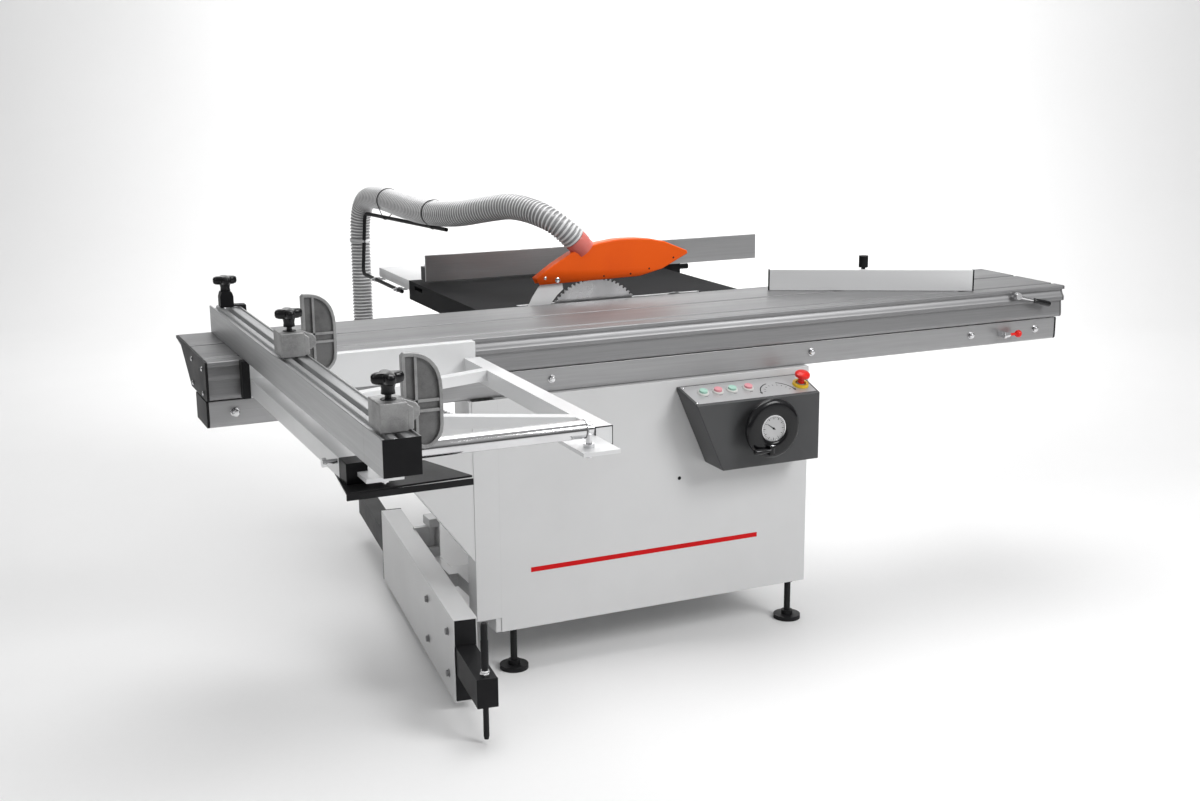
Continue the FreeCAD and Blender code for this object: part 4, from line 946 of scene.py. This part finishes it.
TABLE_PROFILE = [(373, -6), (373, 0), (220, 0), (217, -1.5), (217, -3), (220, -3), (220, -11),
                 (202, -11), (202, -3), (205, -3), (205, -1.5), (202, 0), (48, 0), (46, -2.5),
                 (34, -2.5), (32, 0), (-9, 0), (-12, -2), (-12, -10), (-3, -11.5), (-2, -15),
                 (-4, -21), (-8, -27), (-11.5, -31), (-12, -34), (-12, -42), (-10, -44),
                 (-1, -45.5), (-1, -49), (-3.5, -76), (-4, -84), (-3.4, -89), (-1, -92.5),
                 (3, -94), (30, -94), (30, -40), (130, -40),
                 (130, -94), (186, -94), (306, -14)]
BEAM_FACE = 5
BEAM_PROFILE = [(134, -97), (5.8, -97), (5, -99), (5, -112), (5, -150), (6, -157),
                (9, -160), (134, -160)]


def make_extrusions():
    bed = Shape().prism(TABLE_PROFILE, -1250, 2500, "X")
    attach(bed.done("table_extrusion"), table_alloy, "table", ["sliding_table"],
           0.5, 1)
    end = Shape().prism([(-9, -0.5), (-11, -3), (-11, -88), (-7, -93.5), (186, -93.5),
                         (306, -14), (372.5, -6), (372.5, -0.5)],
                        -1256, 6, "X")
    attach(end.done("table_end_left"), black_paint, "table", ["table_caps"], 0.4)
    end = Shape().prism([(y, z - 0.15) for y, z in TABLE_PROFILE], 1250, 6, "X")
    attach(end.done("table_end_right"), grey_alloy, "table", ["table_caps"])
    for name, start in (("beam_end_left", -1256), ("beam_end_right", 1240)):
        cap = Shape().prism(BEAM_PROFILE, start, 6, "X")
        attach(cap.done(name), black_paint, "base", ["beam_caps"], 0.4)
    beam = Shape().prism(BEAM_PROFILE, -1250, 2490, "X")
    attach(beam.done("beam_extrusion"), beam_alloy, "base", ["fixed_beam"], 0.5, 1)


make_extrusions()


def make_fittings():
    bolts = Shape()
    for x, shank in ((-1191, 14), (-387, 3), (390, 3), (934, 3), (1168, 3)):
        bolts.turn = Matrix.Translation((x, BEAM_FACE, -126))
        bolts.lathe([(0, 0), (11, 0), (11, -1.6), (5, -1.7), (5, -shank), (8.6, -shank - 0.2),
                     (8.6, -shank - 4), (6, -shank - 6.5), (0, -shank - 7)], (0, 0, 0), "Y", 24)
    bolts.turn = Matrix.Identity(4)
    bolts.block(1031, -24, -136, (16, 24 + BEAM_FACE + 0.2, 14))
    bolts.lathe([(5.6, 0), (10.5, 0), (10.5, 9), (8, 10), (8, 22), (5.6, 22), (5.6, 0)],
                (1030, -22, -129), "X", 6)
    for y in (1030, 1265):
        bolts.lathe([(0, 0), (4, 0), (4, -18), (8, -18), (8, -24), (9, -24), (9, -33), (8, -33),
                     (8, -38), (5, -38), (5, -46), (0, -46)], (-440, y, -34), "X", 6)
    attach(bolts.done("beam_bolts"), chrome, "base", ["chrome_fittings"], 0.5)
    stem = Shape()
    stem.lathe([(0, -3), (10, -3), (11, 3), (11, 10), (7, 11), (7, 13), (0, 13)],
               (1072, -30, -17), "Y", 32)
    stem.sweep([(1070, -25, -17), (1100, -25, -25), (1142, -25, -36)], (6, 4.6, 3.6))
    attach(stem.done("lever_stem"), chrome, "lever", ["clamp_lever"])
    grip = Shape()
    grip.sweep([(1130, -25, -32.8), (1133, -25, -33.6), (1150, -25, -38), (1175, -25, -44.6),
                (1190, -25, -48.4), (1193, -25, -49.2)], (4.5, 6.6, 7.2, 8, 7.8, 5))
    attach(grip.done("lever_grip"), gloss_black, "lever", ["clamp_lever"])


make_fittings()


def make_stop_block(name, y, body, node):
    """Cast block on the fence with a web out to the plate's hinge."""
    shape = Shape()
    shape.block(-1160, y - 35, 68.7, (50, 70, 51))
    shape.prism([(-1112, 119), (-1080, 106), (-1073, 96), (-1074, 82), (-1084, 74),
                 (-1112, 69)], y + 13, 22.5)
    shape.prism([(-1112, 117), (-1100, 110), (-1100, 72), (-1112, 70)], y - 35, 50)
    shape.lathe([(0, 20), (9.5, 20), (9.5, 36), (4.6, 36), (4.6, 52.5), (0, 52.5)],
                (-1083, y, 84), "Y", 24)
    attach(shape.done(name), cast_alloy, body, [node], 2.0, 3)
    seat = Shape()
    seat.lathe([(0, 118), (14, 118), (14, 120.8), (0, 121)], (FENCE_MIDDLE, y, 0), "Z", 32)
    attach(seat.done(name + "_seat"), black_plastic, body, ())


make_stop_block("cast_stop_one", STOP_ONE, "stop_1", "stop_block_1")
make_stop_block("cast_stop_two", STOP_TWO, "stop_2", "stop_block_2")


def make_fence_clamp():
    shape = Shape()
    shape.prism([(-1150, 68.8), (-1117, 68.8), (-1117, 96), (-1121, 108), (-1146, 108),
                 (-1150, 96)], 317, 34)
    shape.prism([(-1119, 74), (-1086, 73), (-1085, 30), (-1098.4, 30), (-1098.4, 69.2),
                 (-1119, 69.2)], 321, 26)
    attach(shape.done("clamp_body"), black_plastic, "fence", ["fence_clamp"],
           2.5, 3)


make_fence_clamp()


def make_arm_details():
    """Hex heads on the roller axles, black plates in the open ends and a tip for the tube."""
    place = (Matrix.Translation((-703, -178, 0)) @ Matrix.Rotation(math.radians(-6.3), 4, "Z"))
    heads = Shape()
    for along in (60, 300):
        for level in (-709, -820):
            heads.turn = place @ Matrix.Translation((-30, along, level))
            heads.lathe([(0, 0), (11, 0), (11, -1.8), (8.4, -1.9), (8.4, -7.6), (7.2, -8.4),
                         (0, -8.4)], (0, 0, 0), "X", 6)
    attach(heads.done("arm_bolts"), dull_zinc, "arm", (), 0.3)
    plates = Shape()
    plates.turn = place
    plates.block(-27, 3, -729.4, (54, 3, 67))
    plates.block(-27, 3, -873, (54, 3, 72.4))
    plates.block(-30.5, 952, -876.4, (61, 5, 218))
    attach(plates.done("arm_end_plates"), black_paint, "arm", (), 0.3)
    tip = Shape()
    tip.turn = place
    tip.block(-25.6, -215, -800.6, (51.2, 4, 72.2))
    attach(tip.done("arm_tube_tip"), black_plastic, "arm_extension", (), 1.0)
    stem = Shape()
    stem.lathe([(0, -598), (7, -598), (8.4, -605), (8.4, -640), (9.4, -642), (9.4, -706),
                (7, -714), (7, -880), (5.5, -888), (0, -888)],
               (-724.1, -368.8, 0), "Z", 32)
    attach(stem.done("spindle_stem"), black_paint, "spindle", ["arm_spindle"])
    nut = Shape()
    nut.lathe([(7.3, 0), (12.6, 0), (12.6, 9), (7.3, 9), (7.3, 0)], (-724.1, -368.8, -728), "Z", 6)
    nut.lathe([(7.3, 9), (10, 9), (10, 14), (7.3, 14), (7.3, 9)], (-724.1, -368.8, -728), "Z", 24)
    attach(nut.done("spindle_nut"), chrome, "spindle", (), 0.4)


make_arm_details()


def make_roller_details():
    rings = Shape()
    for start in (-1087.5, -697.5):
        rings.lathe([(12, 0), (18.8, 0), (18.8, 3), (12, 3), (12, 0)], (start, -885, -20.5), "X")
    attach(rings.done("roller_end_rings"), grey_alloy, "outrigger_roller", (),
           0.5)
    bolt = Shape()
    bolt.lathe([(0, 0), (5, 0), (5, -22), (9, -22), (9, -30), (0, -31)], (-1160, -796, -50), "X",
               24)
    attach(bolt.done("tube_side_bolt"), chrome, "table", (), 0.4)
    ends = Shape()
    ends.turn = Matrix.Translation((690, 205, 0)) @ Matrix.Rotation(math.radians(-28.3), 4, "Z")
    for x in (-277.5, 311.6):
        ends.block(x, -34.4, 0.7, (4, 18.8, 60))
    attach(ends.done("mitre_end_caps"), black_plastic, "mitre", (), 0.3)


make_roller_details()


# --- floor, light and camera ---------------------------------------------------------------------

def make_stage():
    """A pale sweep behind the machine, an even sky with a darker horizon, and soft lamps."""
    bend = [(-9, 0), (4.2, 0)]
    bend += [(4.2 + 2.2 * math.sin(math.radians(a)), 2.2 - 2.2 * math.cos(math.radians(a)))
             for a in range(9, 91, 9)]
    bend += [(6.4, 9)]
    ahead = Vector((math.sin(0.43), math.cos(0.43), 0))
    side = Vector((math.cos(0.43), -math.sin(0.43), 0))
    corners = []
    for forward, height in bend:
        for across in (-14, 14):
            corners.append(ahead * forward + side * across + Vector((0, 0, height)))
    faces = [(2 * i, 2 * i + 1, 2 * i + 3, 2 * i + 2) for i in range(len(bend) - 1)]
    floor_mesh = bpy.data.meshes.new("floor")
    floor_mesh.from_pydata(corners, [], faces)
    for face in floor_mesh.polygons:
        face.use_smooth = True
    floor = add_object("floor", floor_mesh)
    floor_mesh.materials.append(finish("pale floor", (0.88, 0.88, 0.88), (0.86, 0.86, 0.86),
                                       (0.7, 0.8), EVEN, 1.0, 60.0))
    world = bpy.data.worlds.new("studio")
    bpy.context.scene.world = world
    world.use_nodes = True
    tree = world.node_tree
    coordinates = tree.nodes.new("ShaderNodeTexCoord")
    split = tree.nodes.new("ShaderNodeSeparateXYZ")
    tree.links.new(coordinates.outputs["Generated"], split.inputs[0])
    low = ramp(tree, split.outputs["Z"], 0.05, 0.45, 0.22, 1.0)
    tree.links.new(low, tree.nodes["Background"].inputs["Color"])
    tree.nodes["Background"].inputs["Strength"].default_value = 0.42
    for name, place, aim, power, width in (
            ("key", (2.6, -4.6, 4.0), (0, 0, 0.6), 190, 2.4),
            ("fill", (-5.0, -2.5, 2.4), (-0.4, 0, 0.6), 18, 2.0),
            ("top", (0.2, 0.6, 4.4), (0, 0.2, 0.8), 120, 3.0),
            ("sweep", (1.5, 3.2, 3.6), (2.2, 5.6, 2.0), 150, 3.0)):
        light = bpy.data.lights.new(name, "AREA")
        light.energy = power
        light.size = width
        lamp = bpy.data.objects.new(name, light)
        bpy.context.scene.collection.objects.link(lamp)
        lamp.location = place
        lamp.rotation_euler = (Vector(aim) - Vector(place)).to_track_quat("-Z", "Y").to_euler()


make_stage()


def make_camera():
    data = bpy.data.cameras.new("camera")
    camera = bpy.data.objects.new("camera", data)
    bpy.context.scene.collection.objects.link(camera)
    yaw, pitch, roll = 0.430, -0.230, -0.007
    ahead = Vector((math.sin(yaw) * math.cos(pitch), math.cos(yaw) * math.cos(pitch),
                    math.sin(pitch)))
    side = Vector((math.cos(yaw), -math.sin(yaw), 0))
    up = side.cross(ahead)
    right = side * math.cos(roll) + up * math.sin(roll)
    above = up * math.cos(roll) - side * math.sin(roll)
    turn = Matrix((right, above, -ahead)).transposed().to_4x4()
    camera.matrix_world = Matrix.Translation((-1.8557, -3.6788, 1.6039)) @ turn
    data.lens = 45.61
    data.sensor_width = 36
    data.clip_end = 60
    bpy.context.scene.camera = camera
    bpy.context.scene.view_settings.view_transform = "Standard"


make_camera()
